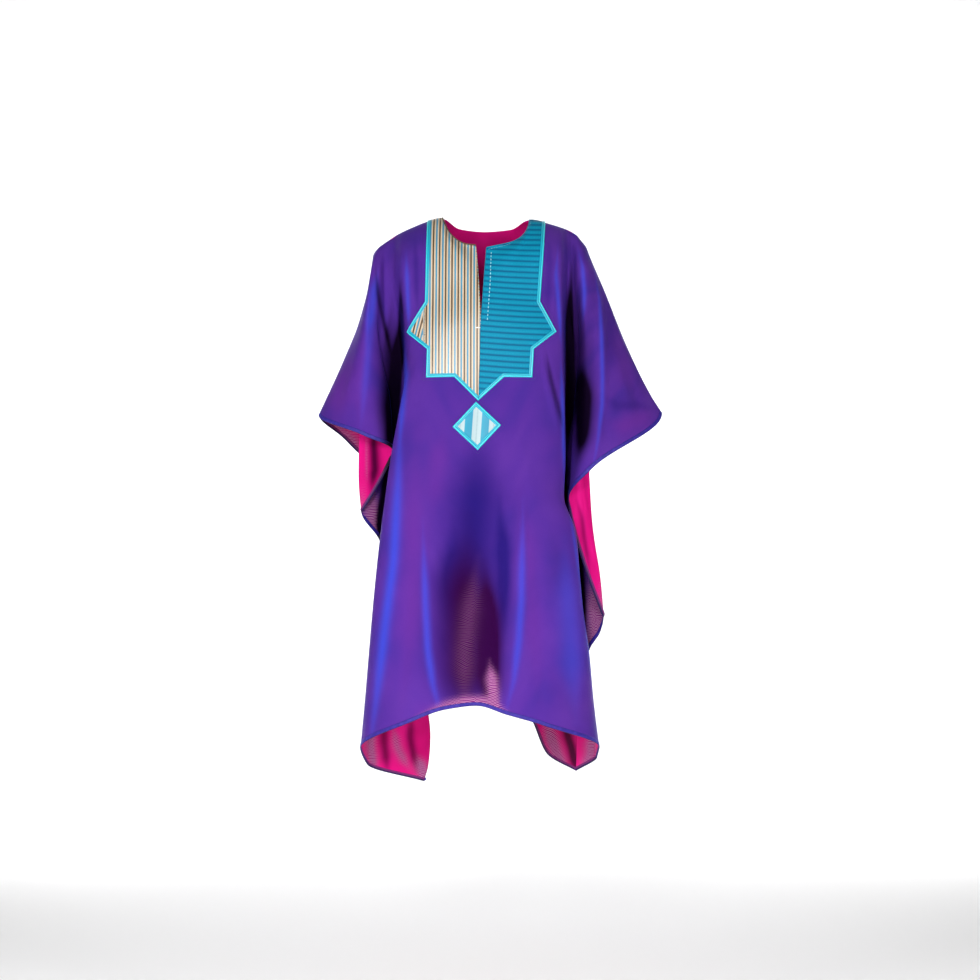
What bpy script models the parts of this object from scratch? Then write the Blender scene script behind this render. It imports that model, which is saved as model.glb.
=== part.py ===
"""Kaftan in shot voile: a wide front and back panel with batwing sleeves, a star yoke and a diamond.

The cloth hangs as worn on a general figure. Every panel is a wall round one mid surface.
The mid surface comes from fold lines. A fold line is a short table that says how far across
and how deep the fold lies at a few heights. Rows of the cloth run smoothly from line to line.
Lengths in the tables are millimetres: across to the right, depth to the back, height upwards.
The origin is the middle of the neck at the height of the shoulder line.
"""
import math

import bmesh
import bpy
import numpy as np

MM = 0.001

# Cloth.
WALL = 2.0 * MM
SEAM_GAP = 0.3 * MM
APPLIQUE_WALL = 1.3 * MM
BINDING_WALL = 2.0 * MM
BINDING_WIDTH = 7.0 * MM
PIPING_RADIUS = 1.4 * MM
SHOULDER_DROP = 70.0 * MM

# Neck slit: how far it is open at its top, and the height where it closes.
SLIT_OPEN = 19.0
SLIT_TOP = -53.0
SLIT_END = -209.0

# Rows from the shoulder to the cuff, on to the top of the side seam, and on to the hem.
ROWS_SLEEVE = 15
ROWS_SLIT = 7
ROWS_SKIRT = 9

# Grid columns between one fold line and the next.
FRONT_COLUMNS = {"centre": 3, "chest": 5, "neck": 4, "fold": 4, "valley": 4, "pleat_out": 4, "pleat_in": 3, "sleeve": 4}
BACK_COLUMNS = {"centre": 3, "nape": 3, "neck": 4, "fold": 4, "edge": 3, "sleeve": 4}
FRONT_LINES = ["centre", "chest", "neck", "fold", "valley", "pleat_out", "pleat_in", "sleeve", "arm"]
FRONT_LOW = 5
BACK_LINES = ["centre", "nape", "neck", "fold", "edge", "sleeve", "arm"]
BACK_LOW = 4

# Height of each line at the shoulder, at the cuff row, at the top of the side seam, and at the hem.
FRONT_STATIONS = {
    "right": {
        "centre": (-53, -400, -640, -903),
        "chest": (-49, -402, -650, -918),
        "neck": (3, -405, -665, -940),
        "fold": (-10, -440, -700, -994),
        "valley": (-17, -492, -770, -1022),
        "pleat_out": (-21, -751, -854, -1053),
        "pleat_in": (-25, -526),
        "sleeve": (-33, -472),
        "arm": (-55, -363),
    },
    "left": {
        "centre": (-53, -400, -640, -903),
        "chest": (-46, -401, -642, -909),
        "neck": (6, -404, -647, -931),
        "fold": (-19, -415, -665, -995),
        "valley": (-33, -430, -690, -1036),
        "pleat_out": (-38, -553, -718, -1079),
        "pleat_in": (-43, -436),
        "sleeve": (-49, -409),
        "arm": (-67, -367),
    },
}
BACK_STATIONS = {
    "right": {
        "centre": (-12, -400, -640, -905),
        "nape": (-9, -401, -650, -920),
        "neck": (3, -402, -660, -945),
        "fold": (-10, -410, -720, -1031),
        "edge": (-25, -446, -854, -1053),
        "sleeve": (-33, -397),
        "arm": (-55, -363),
    },
    "left": {
        "centre": (-12, -400, -640, -905),
        "nape": (-8, -401, -642, -912),
        "neck": (6, -402, -645, -925),
        "fold": (-19, -410, -665, -985),
        "edge": (-43, -459, -718, -1079),
        "sleeve": (-49, -406),
        "arm": (-67, -367),
    },
}

# Fold lines of the front, by side: rows of (height, across, depth).
FRONT_FOLDS = {
    "right": {
        "centre": [(-53, -4, -59), (-120, -3, -92), (-209, -4, -118), (-345, -8, -134),
                   (-530, -10, -136), (-720, -11, -138), (-903, -11, -143)],
        "chest": [(-49, 52, -50), (-75, 43, -76), (-140, 42, -98), (-210, 38, -119), (-345, 36, -136),
                  (-530, 37, -139), (-720, 40, -142), (-918, 42, -149)],
        "neck": [(3, 89, -40), (-14, 100, -48), (-80, 100, -79), (-160, 98, -98), (-215, 96, -114),
                 (-345, 94, -130), (-530, 98, -131), (-720, 105, -132), (-940, 112, -136)],
        "fold": [(-10, 146, -40), (-75, 143, -72), (-155, 145, -86), (-230, 146, -94), (-345, 151, -96),
                 (-450, 153, -92), (-522, 150, -86), (-590, 173, -82), (-675, 181, -75), (-735, 187, -68),
                 (-815, 199, -58), (-900, 207, -48), (-994, 219, -34)],
        "valley": [(-17, 161, -20), (-90, 160, -38), (-150, 158, -32), (-245, 157, -24), (-340, 156, -14),
                   (-432, 154, -4), (-525, 150, 4), (-605, 156, 6), (-700, 166, 4), (-770, 176, 0),
                   (-850, 194, 2), (-930, 208, 12), (-1022, 218, 30)],
        "pleat_out": [(-21, 169, -20), (-110, 170, -32), (-205, 173, -30), (-300, 184, -24), (-395, 195, -24),
                      (-490, 201, -26), (-560, 205, -26), (-604, 210, -26), (-670, 221, -26), (-751, 227, -26),
                      (-776, 222, -20), (-810, 203, -4), (-854, 193, 30)],
        "pleat_in": [(-25, 177, -20), (-110, 179, -44), (-207, 182, -46), (-303, 175, -47), (-398, 168, -51),
                     (-472, 164, -55), (-526, 160, -58)],
        "sleeve": [(-33, 184, -24), (-65, 186, -38), (-150, 189, -56), (-248, 194, -67), (-344, 197, -75),
                   (-420, 201, -80), (-472, 200, -82)],
        "arm": [(-55, 198, 0), (-68, 203, 0), (-125, 228, 0), (-239, 274, 0), (-330, 319, 0), (-363, 340, 0)],
    },
    "left": {
        "centre": [(-53, -4, -59), (-120, -3, -92), (-209, -4, -118), (-345, -8, -134),
                   (-530, -10, -136), (-720, -11, -138), (-903, -11, -143)],
        "chest": [(-46, -45, -50), (-75, -38, -78), (-140, -41, -98), (-210, -45, -119), (-345, -49, -137),
                  (-530, -53, -138), (-720, -60, -141), (-909, -66, -147)],
        "neck": [(6, -79, -40), (-12, -90, -48), (-80, -93, -77), (-160, -96, -97), (-215, -99, -113),
                 (-345, -101, -130), (-530, -107, -132), (-720, -116, -133), (-931, -126, -138)],
        "fold": [(-19, -152, -40), (-75, -149, -70), (-155, -142, -84), (-250, -135, -94), (-345, -151, -96),
                 (-435, -168, -94), (-545, -184, -87), (-640, -196, -80), (-770, -209, -68), (-905, -221, -54),
                 (-995, -230, -42)],
        "valley": [(-33, -173, -20), (-110, -170, -38), (-205, -160, -28), (-300, -152, -19), (-395, -147, -8),
                   (-490, -147, 0), (-585, -155, 2), (-690, -170, -4), (-780, -190, 0), (-900, -210, 16),
                   (-1036, -223, 40)],
        "pleat_out": [(-38, -183, -20), (-110, -185, -34), (-187, -183, -32), (-263, -195, -24), (-338, -221, -23),
                      (-404, -233, -25), (-480, -235, -26), (-553, -229, -26), (-605, -196, -10), (-718, -173, 30)],
        "pleat_in": [(-43, -190, -20), (-110, -196, -46), (-190, -199, -48), (-265, -189, -45), (-342, -173, -48),
                     (-398, -169, -53), (-436, -168, -56)],
        "sleeve": [(-49, -198, -24), (-80, -206, -38), (-150, -213, -55), (-248, -216, -64), (-344, -218, -71),
                   (-409, -219, -72)],
        "arm": [(-67, -209, 0), (-125, -216, 0), (-171, -228, 0), (-262, -264, 0), (-367, -312, 0)],
    },
}

# Fold lines of the back, by side: rows of (height, across, depth).
BACK_FOLDS = {
    "right": {
        "centre": [(-12, 2, 52), (-60, 1, 78), (-150, 0, 100), (-300, -1, 112), (-500, -2, 118),
                   (-700, -3, 130), (-905, -4, 148)],
        "nape": [(-9, 52, 44), (-60, 50, 78), (-150, 47, 102), (-300, 44, 112), (-500, 42, 119),
                 (-710, 41, 131), (-920, 40, 147)],
        "neck": [(3, 89, 40), (-70, 88, 84), (-150, 86, 103), (-300, 84, 112), (-500, 82, 119),
                 (-720, 82, 130), (-945, 84, 140)],
        "fold": [(-10, 146, 40), (-80, 148, 76), (-200, 152, 94), (-400, 158, 100), (-600, 157, 106),
                 (-800, 146, 114), (-1031, 129, 121)],
        "edge": [(-25, 177, 22), (-110, 178, 48), (-250, 182, 44), (-360, 193, 52), (-446, 206, 58),
                 (-560, 200, 52), (-700, 199, 40), (-800, 197, 32), (-854, 193, 30)],
        "sleeve": [(-33, 184, 26), (-110, 210, 50), (-230, 245, 62), (-397, 285, 60)],
        "arm": [(-55, 198, 0), (-68, 203, 0), (-125, 228, 0), (-239, 274, 0), (-330, 319, 0), (-363, 340, 0)],
    },
    "left": {
        "centre": [(-12, 2, 52), (-60, 1, 78), (-150, 0, 100), (-300, -1, 112), (-500, -2, 118),
                   (-700, -3, 130), (-905, -4, 148)],
        "nape": [(-8, -44, 43), (-60, -44, 78), (-150, -44, 102), (-300, -45, 112), (-500, -46, 119),
                 (-710, -48, 132), (-912, -50, 150)],
        "neck": [(6, -79, 40), (-70, -80, 84), (-150, -80, 103), (-300, -83, 112), (-500, -85, 120),
                 (-700, -88, 134), (-925, -92, 152)],
        "fold": [(-19, -152, 40), (-80, -152, 76), (-200, -155, 94), (-400, -160, 100), (-600, -166, 108),
                 (-800, -172, 122), (-985, -178, 138)],
        "edge": [(-43, -190, 22), (-110, -186, 48), (-250, -184, 46), (-360, -193, 54), (-459, -206, 60),
                 (-560, -184, 52), (-640, -174, 40), (-718, -173, 30)],
        "sleeve": [(-49, -198, 26), (-110, -212, 48), (-250, -245, 62), (-406, -273, 58)],
        "arm": [(-67, -209, 0), (-125, -216, 0), (-171, -228, 0), (-262, -264, 0), (-367, -312, 0)],
    },
}

# Side seams below the slits, by side: rows of (height, across, depth).
SIDE_SEAMS = {
    "right": [(-854, 193, 30), (-912, 186, 50), (-988, 182, 62), (-1053, 180, 70)],
    "left": [(-718, -173, 30), (-838, -138, 64), (-930, -109, 87), (-990, -103, 96), (-1045, -107, 104),
             (-1079, -116, 108)],
}

# Front neck edge from the slit to the shoulder seam, by side: rows of (across, depth, height).
NECKLINE = {
    "left": [(-13.5, -59, -54), (-33.5, -56, -51), (-44, -53, -46.5), (-55, -49, -38.6), (-65, -42, -27),
             (-72, -31, -14.5), (-76.5, -17, -3), (-79, 0, 6)],
    "right": [(7, -60, -57), (22.6, -58, -53.5), (41.4, -56, -49.5), (57.5, -52, -44.6), (69, -47, -38.1),
              (78, -41, -29), (84.5, -31, -18), (88, -17, -6), (89, 0, 3)],
}
NECKLINE_FADE = 75.0 * MM

# Lines that start on the rounded top of the shoulder.
ROUNDED = ("neck", "fold", "valley", "pleat_out", "pleat_in", "sleeve", "edge")

# Yoke: half width and height of each corner of its outline, about an axis that leans a little.
YOKE_CORNERS = [(113, 40), (106.4, -161), (138.5, -217), (98, -250.4), (97.2, -303), (45.7, -302.5), (0, -346.2)]
YOKE_AXIS_TOP = 6.6 * MM
YOKE_AXIS_LEAN = 0.0434
DIAMOND_CENTRE = (-10.8 * MM, -392.0 * MM)
DIAMOND_REACH = 44.6 * MM
DIAMOND_TURN = math.radians(2.0)

MATERIALS = {
    "front_panel": ((0.12, 0.05, 0.36), 0.6),
    "back_panel": ((0.10, 0.04, 0.32), 0.6),
    "yoke_striped": ((0.62, 0.50, 0.40), 0.5),
    "yoke_ribbed": ((0.01, 0.33, 0.50), 0.5),
    "yoke_binding_striped": ((0.03, 0.62, 0.72), 0.35),
    "yoke_binding_ribbed": ((0.03, 0.62, 0.72), 0.35),
    "diamond": ((0.20, 0.66, 0.78), 0.4),
    "diamond_binding": ((0.03, 0.62, 0.72), 0.35),
    "neck_piping_brown": ((0.10, 0.05, 0.03), 0.5),
}


def smooth_table(knots, values, at, first=None, last=None):
    """Monotone cubic through the knots: slopes are harmonic means, so it never overshoots."""
    knots = np.asarray(knots, float)
    values = np.asarray(values, float)
    at = np.clip(np.asarray(at, float), knots[0], knots[-1])
    step = np.diff(knots)
    rise = np.diff(values) / step
    slope = np.zeros(len(knots))
    slope[0] = rise[0] if first is None else first
    slope[-1] = rise[-1] if last is None else last
    for i in range(1, len(knots) - 1):
        if rise[i - 1] * rise[i] > 0:
            early = 2 * step[i] + step[i - 1]
            late = step[i] + 2 * step[i - 1]
            slope[i] = (early + late) / (early / rise[i - 1] + late / rise[i])
    place = np.clip(np.searchsorted(knots, at, side="right") - 1, 0, len(step) - 1)
    part = (at - knots[place]) / step[place]
    low = values[place]
    high = values[place + 1]
    bend_low = slope[place] * step[place]
    bend_high = slope[place + 1] * step[place]
    square = part * part
    cube = square * part
    return (low * (2 * cube - 3 * square + 1) + bend_low * (cube - 2 * square + part)
            + high * (3 * square - 2 * cube) + bend_high * (cube - square))


def row_steps():
    """Row positions: 0 shoulder, 1 cuff, 2 top of the side seam, 3 hem; closer at the shoulder."""
    sleeve = np.linspace(0, 1, ROWS_SLEEVE) ** 1.5
    slit = slit_row()
    sleeve[np.argmin(abs(sleeve - slit))] = slit
    return np.concatenate([sleeve, np.linspace(1, 2, ROWS_SLIT)[1:], np.linspace(2, 3, ROWS_SKIRT)[1:]])


def slit_row():
    """The row position where the centre line has come down to the end of the neck slit."""
    tries = np.linspace(0, 1, 2001)
    heights = smooth_table(range(4), FRONT_STATIONS["left"]["centre"], tries)
    return tries[np.argmin(abs(heights - SLIT_END))]


def fold_line(stations, table, rows, rounded):
    """Points of one fold line at the given rows, with the shoulder rounded off as a quarter ellipse."""
    rows = np.asarray(rows, float)
    height = smooth_table(range(len(stations)), stations, rows)
    levels = [-row[0] for row in table]
    across = smooth_table(levels, [row[1] for row in table], -height)
    depth = smooth_table(levels, [row[2] for row in table], -height)
    if rounded:
        drop = np.clip((stations[0] - height) * MM / SHOULDER_DROP, 0, 1)
        depth = depth * np.sqrt(1 - (1 - drop) ** 2)
    return np.stack([across, depth, height], axis=-1) * MM


def side_seam(side, rows):
    """Points of a side seam, for rows from its top to the hem."""
    table = SIDE_SEAMS[side]
    height = table[0][0] + (table[-1][0] - table[0][0]) * np.clip(np.asarray(rows) - 2, 0, 1)
    levels = [-row[0] for row in table]
    across = smooth_table(levels, [row[1] for row in table], -height)
    depth = smooth_table(levels, [row[2] for row in table], -height)
    return np.stack([across, depth, height], axis=-1) * MM


def smooth_row(points, counts, turned):
    """Curve from the centre through key points, counts[i] even steps after point i.

    Each coordinate is a monotone cubic over the chord length, so a fold turns round at its own line.
    The row starts square to the centre line. A turned row ends pointing to the back, as over an arm.
    """
    points = np.asarray(points)
    chord = np.concatenate([[0.0], np.cumsum(np.linalg.norm(np.diff(points, axis=0), axis=1) + 1e-6)])
    at = [chord[0]]
    for i, count in enumerate(counts):
        at += list(chord[i] + (chord[i + 1] - chord[i]) * np.arange(1, count + 1) / count)
    across = smooth_table(chord, points[:, 0], at, last=0.0 if turned else None)
    depth = smooth_table(chord, points[:, 1], at, first=0.0)
    height = smooth_table(chord, points[:, 2], at, first=0.0)
    return np.stack([across, depth, height], axis=-1)


def half_grid(side, lines, low, stations, folds, columns, rows):
    """Rows of mid surface points of one half panel, from its centre to the arm or to the slit edge."""
    curves = {}
    for name in lines:
        last = 3 if name in lines[:low + 1] else 1
        used = np.clip(rows, 0, last)
        curves[name] = fold_line(stations[side][name], folds[side][name], used, name in ROUNDED)
        if name == lines[low]:
            curves[name] = np.where((rows > 2)[:, None], side_seam(side, rows), curves[name])
    grid = []
    for index, row in enumerate(rows):
        names = lines if row <= 1 else lines[:low + 1]
        keys = [curves[name][index] for name in names]
        if lines is FRONT_LINES:
            reach = np.clip((keys[0][2] / MM - SLIT_END) / (SLIT_TOP - SLIT_END), 0, 1)
            shift = 0.5 * SLIT_OPEN * MM * reach
            keys[0] = keys[0] + np.array([shift if side == "right" else -shift, 0, 0])
        grid.append(smooth_row(keys, [columns[name] for name in names[:-1]], turned=row <= 1))
    if lines is FRONT_LINES:
        round_neckline(side, grid, columns["centre"] + columns["chest"])
    return grid


def round_neckline(side, grid, count):
    """Moves the top row onto the neck edge's own curve; rows below follow less and less."""
    curve = np.array(NECKLINE[side]) * MM
    length = np.concatenate([[0.0], np.cumsum(np.linalg.norm(np.diff(curve, axis=0), axis=1))])
    own = np.array(grid[0][:count + 1])
    share = np.concatenate([[0.0], np.cumsum(np.linalg.norm(np.diff(own, axis=0), axis=1))])
    at = share / share[-1] * length[-1]
    shift = np.stack([smooth_table(length, curve[:, i], at) for i in range(3)], axis=-1) - own
    drop = np.zeros(count + 1)
    above = own.copy()
    for row in grid:
        here = np.array(row[:count + 1])
        drop = drop + np.linalg.norm(here - above, axis=1)
        above = here
        part = np.clip(drop / NECKLINE_FADE, 0, 1)
        row[:count + 1] = here + shift * (1 - part * part * (3 - 2 * part))[:, None]


class Sheet:
    """Triangles of a mid surface, with shared points found by their place."""

    def __init__(self):
        self.points = []
        self.index = {}
        self.triangles = []

    def add_point(self, point):
        key = tuple(np.round(np.asarray(point) * 1e6).astype(int))
        if key not in self.index:
            self.index[key] = len(self.points)
            self.points.append(np.array(point, float))
        return self.index[key]

    def add_triangle(self, corners):
        ids = [self.add_point(corner) for corner in corners]
        if len(set(ids)) == 3:
            self.triangles.append(ids)

    def add_grid(self, grid, flip):
        """Two triangles for each cell between rows, cut along the shorter diagonal."""
        for upper, lower in zip(grid[:-1], grid[1:]):
            for column in range(min(len(upper), len(lower)) - 1):
                a, b = upper[column], upper[column + 1]
                c, d = lower[column + 1], lower[column]
                if np.linalg.norm(a - c) <= np.linalg.norm(b - d):
                    pair = [(a, b, c), (a, c, d)]
                else:
                    pair = [(a, b, d), (b, c, d)]
                for corners in pair:
                    self.add_triangle(corners[::-1] if flip else corners)


def surface_normals(points, triangles):
    """Normals at the points, each face weighing in by its area."""
    points = np.asarray(points)
    triangles = np.asarray(triangles)
    normals = np.zeros_like(points)
    a, b, c = (points[triangles[:, i]] for i in range(3))
    faces = np.cross(b - a, c - a)
    for i in range(3):
        np.add.at(normals, triangles[:, i], faces)
    return normals / np.linalg.norm(normals, axis=1, keepdims=True)


def open_edges(triangles):
    """Directed edges that belong to one triangle only."""
    seen = {}
    for triangle in triangles:
        for i in range(3):
            edge = (triangle[i], triangle[(i + 1) % 3])
            seen[edge] = seen.get(edge, 0) + 1
    return [edge for edge in seen if (edge[1], edge[0]) not in seen]


def build_wall(name, points, normals, triangles, inner, outer, collection):
    """Closed wall between two offsets of a sheet along its normals."""
    points = np.asarray(points)
    normals = np.asarray(normals)
    count = len(points)
    vertices = np.vstack([points + normals * outer, points + normals * inner])
    faces = [tuple(t) for t in triangles]
    faces += [(t[2] + count, t[1] + count, t[0] + count) for t in triangles]
    faces += [(b, a, a + count, b + count) for a, b in open_edges(triangles)]
    mesh = bpy.data.meshes.new(name)
    mesh.from_pydata([tuple(v) for v in vertices], [], faces)
    shell = bpy.data.objects.new(name, mesh)
    collection.objects.link(shell)
    work = bmesh.new()
    work.from_mesh(mesh)
    loose = [v for v in work.verts if not v.link_faces]
    bmesh.ops.delete(work, geom=loose, context="VERTS")
    bmesh.ops.triangulate(work, faces=[f for f in work.faces if len(f.verts) > 3])
    work.to_mesh(mesh)
    work.free()
    colour, rough = MATERIALS[name]
    material = bpy.data.materials.new(name)
    material.use_nodes = True
    shader = material.node_tree.nodes["Principled BSDF"]
    shader.inputs["Base Color"].default_value = (*colour, 1.0)
    shader.inputs["Roughness"].default_value = rough
    mesh.materials.append(material)
    return shell


def panel_parts(rows):
    """Half grids of the front and the back, keyed by panel and side."""
    parts = {}
    for side in ("left", "right"):
        parts["front", side] = half_grid(side, FRONT_LINES, FRONT_LOW, FRONT_STATIONS, FRONT_FOLDS,
                                         FRONT_COLUMNS, rows)
        parts["back", side] = half_grid(side, BACK_LINES, BACK_LOW, BACK_STATIONS, BACK_FOLDS,
                                        BACK_COLUMNS, rows)
    return parts


def add_half(sheet, panel, side, grid):
    """Adds a half panel so that its faces look out of the garment."""
    sheet.add_grid(grid, flip=(panel == "front") == (side == "right"))


def shared_with_other(own, other):
    """Ids of the points of one sheet that also belong to the other."""
    return [own.index[key] for key in own.index if key in other.index]


def draw_back(sheet, ids, distance, toward):
    """Moves seam points into their own panel; the shoulder and arm seam lies in the plane of zero depth."""
    seam = set(ids)
    neighbours = {i: [] for i in seam}
    for triangle in sheet.triangles:
        for i in triangle:
            if i in seam:
                neighbours[i] += [j for j in triangle if j not in seam]
    moved = [np.array(p) for p in sheet.points]
    for i, near in neighbours.items():
        if near:
            inward = np.mean([sheet.points[j] for j in near], axis=0) - sheet.points[i]
            moved[i] = sheet.points[i] + inward / np.linalg.norm(inward) * distance
    for i, point in enumerate(sheet.points):
        if abs(point[1]) < 1e-9:
            moved[i] = np.array([point[0], toward * distance, point[2]])
    return moved


def yoke_outline(inset):
    """Yoke outline in the front view, its edges moved in by the inset: (across, height) corners."""
    half = [(x * MM, z * MM) for x, z in YOKE_CORNERS]
    flat = [(-x, z) for x, z in half] + half[-2::-1]
    leaned = [(x + YOKE_AXIS_TOP + YOKE_AXIS_LEAN * z, z) for x, z in flat]
    return inset_polygon(leaned, inset, closed=False)


def diamond_outline(inset):
    """Square standing on its point, its edges moved in by the inset."""
    corners = []
    for quarter in range(4):
        angle = DIAMOND_TURN + quarter * math.pi / 2
        corners.append((DIAMOND_CENTRE[0] - DIAMOND_REACH * math.cos(angle),
                        DIAMOND_CENTRE[1] - DIAMOND_REACH * math.sin(angle)))
    return inset_polygon(corners, inset, closed=True)


def inset_polygon(corners, inset, closed):
    """Moves each edge of a counter-clockwise outline inwards; open outlines keep their ends free."""
    count = len(corners)
    lines = []
    for i in range(count if closed else count - 1):
        start = np.array(corners[i])
        along = np.array(corners[(i + 1) % count]) - start
        along = along / np.linalg.norm(along)
        inward = np.array([-along[1], along[0]])
        lines.append((start + inward * inset, along))
    moved = []
    for i in range(count):
        if closed or 0 < i < count - 1:
            (p, u), (q, v) = lines[i - 1], lines[i % len(lines)]
            cross = u[0] * v[1] - u[1] * v[0]
            reach = ((q[0] - p[0]) * v[1] - (q[1] - p[1]) * v[0]) / cross
            moved.append(tuple(p + u * reach))
        else:
            start, along = lines[0] if i == 0 else lines[-1]
            span = np.dot(np.array(corners[i]) - start, along)
            moved.append(tuple(start + along * span))
    return moved


def inside(point, corners):
    """True if a front view point lies in the outline, by counting crossings."""
    x, z = point
    hit = False
    for i in range(len(corners)):
        (x0, z0), (x1, z1) = corners[i - 1], corners[i]
        if (z0 > z) != (z1 > z) and x < x0 + (z - z0) * (x1 - x0) / (z1 - z0):
            hit = not hit
    return hit


def cut_sheet(points, normals, triangles, outlines):
    """Cuts a piece of panel along outlines seen from the front; normals go along with the points."""
    work = bmesh.new()
    layer = work.verts.layers.float_vector.new("outward")
    handles = []
    for point, normal in zip(points, normals):
        vertex = work.verts.new(tuple(point))
        vertex[layer] = tuple(normal)
        handles.append(vertex)
    for triangle in triangles:
        work.faces.new([handles[i] for i in triangle])
    for corners, closed in outlines:
        for i in range(len(corners) if closed else len(corners) - 1):
            start = np.array(corners[i])
            end = np.array(corners[(i + 1) % len(corners)])
            low = np.minimum(start, end) - 1 * MM
            high = np.maximum(start, end) + 1 * MM
            near = [f for f in work.faces if overlaps(f, low, high)]
            geometry = near + list({e for f in near for e in f.edges}) + list({v for f in near for v in f.verts})
            across = end - start
            bmesh.ops.bisect_plane(work, geom=geometry, dist=0.005 * MM, plane_co=(start[0], 0, start[1]),
                                   plane_no=(across[1], 0, -across[0]))
    return work, layer


def overlaps(face, low, high):
    """True if the face's box in the front view meets the given box."""
    across = [v.co.x for v in face.verts]
    height = [v.co.z for v in face.verts]
    return min(across) < high[0] and max(across) > low[0] and min(height) < high[1] and max(height) > low[1]


def region_wall(name, work, layer, keep, middle, inner, outer, collection):
    """Wall over the faces of a cut sheet that the test keeps, clear of the middle line of the panel."""
    faces = [f for f in work.faces if keep((f.calc_center_median().x, f.calc_center_median().z))]
    order = {}
    for face in faces:
        for vertex in face.verts:
            order.setdefault(vertex, len(order))
    points = [np.array(v.co) for v in order]
    normals = [np.array(v[layer]) / np.linalg.norm(np.array(v[layer])) for v in order]
    triangles = []
    for face in faces:
        triangles += fan([order[v] for v in face.verts], points)
    if middle is not None:
        line, side = middle
        for i, point in enumerate(points):
            if abs(point[0] - np.interp(-point[2], -line[:, 2], line[:, 0])) < 0.02 * MM:
                points[i] = point + np.array([side * SEAM_GAP / 2, 0, 0])
    return build_wall(name, points, normals, triangles, inner, outer, collection)


def fan(ids, points):
    """Splits a cut face into triangles, leaving out corners that lie on a straight edge."""
    loop = list(ids)
    result = []
    while len(loop) > 3:
        best = None
        for i in range(len(loop)):
            a, b, c = loop[i - 1], loop[i], loop[(i + 1) % len(loop)]
            area = np.linalg.norm(np.cross(points[b] - points[a], points[c] - points[a]))
            longest = max(np.linalg.norm(points[b] - points[a]), np.linalg.norm(points[c] - points[b]),
                          np.linalg.norm(points[c] - points[a]))
            quality = area / longest ** 2
            if best is None or quality > best[0]:
                best = (quality, i)
        i = best[1]
        result.append([loop[i - 1], loop[i], loop[(i + 1) % len(loop)]])
        del loop[i]
    result.append(loop)
    return result


def build_piping(name, path, outward, collection):
    """Round cord along an edge of cloth, laid just beyond the edge."""
    along = np.gradient(path, axis=0)
    along = along / np.linalg.norm(along, axis=1, keepdims=True)
    away = outward - along * np.sum(outward * along, axis=1, keepdims=True)
    away = away / np.linalg.norm(away, axis=1, keepdims=True)
    centre = path + away * (PIPING_RADIUS + 2 * SEAM_GAP)
    up = np.cross(along, away)
    sides = 6
    vertices = []
    for i in range(len(centre)):
        for j in range(sides):
            angle = 2 * math.pi * j / sides
            vertices.append(centre[i] + PIPING_RADIUS * (math.cos(angle) * away[i] + math.sin(angle) * up[i]))
    faces = [tuple(range(sides))[::-1], tuple((len(centre) - 1) * sides + j for j in range(sides))]
    for i in range(len(centre) - 1):
        for j in range(sides):
            k = (j + 1) % sides
            faces.append((i * sides + j, i * sides + k, (i + 1) * sides + k, (i + 1) * sides + j))
    mesh = bpy.data.meshes.new(name)
    mesh.from_pydata([tuple(v) for v in vertices], [], faces)
    cord = bpy.data.objects.new(name, mesh)
    collection.objects.link(cord)
    work = bmesh.new()
    work.from_mesh(mesh)
    bmesh.ops.recalc_face_normals(work, faces=work.faces)
    work.to_mesh(mesh)
    work.free()
    colour, rough = MATERIALS[name]
    material = bpy.data.materials.new(name)
    material.use_nodes = True
    shader = material.node_tree.nodes["Principled BSDF"]
    shader.inputs["Base Color"].default_value = (*colour, 1.0)
    shader.inputs["Roughness"].default_value = rough
    mesh.materials.append(material)
    return cord


def neck_edge(grid, normal_at):
    """Front neck edge of one half from the slit to the shoulder seam, and the way out of the cloth there."""
    count = FRONT_COLUMNS["centre"] + FRONT_COLUMNS["chest"]
    edge = np.array(grid[0][:count + 1])
    along = np.gradient(edge, axis=0)
    outward = np.cross(along, [normal_at(point) for point in edge])
    outward *= np.sign(outward[0] @ (edge[0] - grid[1][0]))
    edge[-1] = edge[-1] + 0.12 * (edge[-2] - edge[-1])
    return edge, outward


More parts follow.
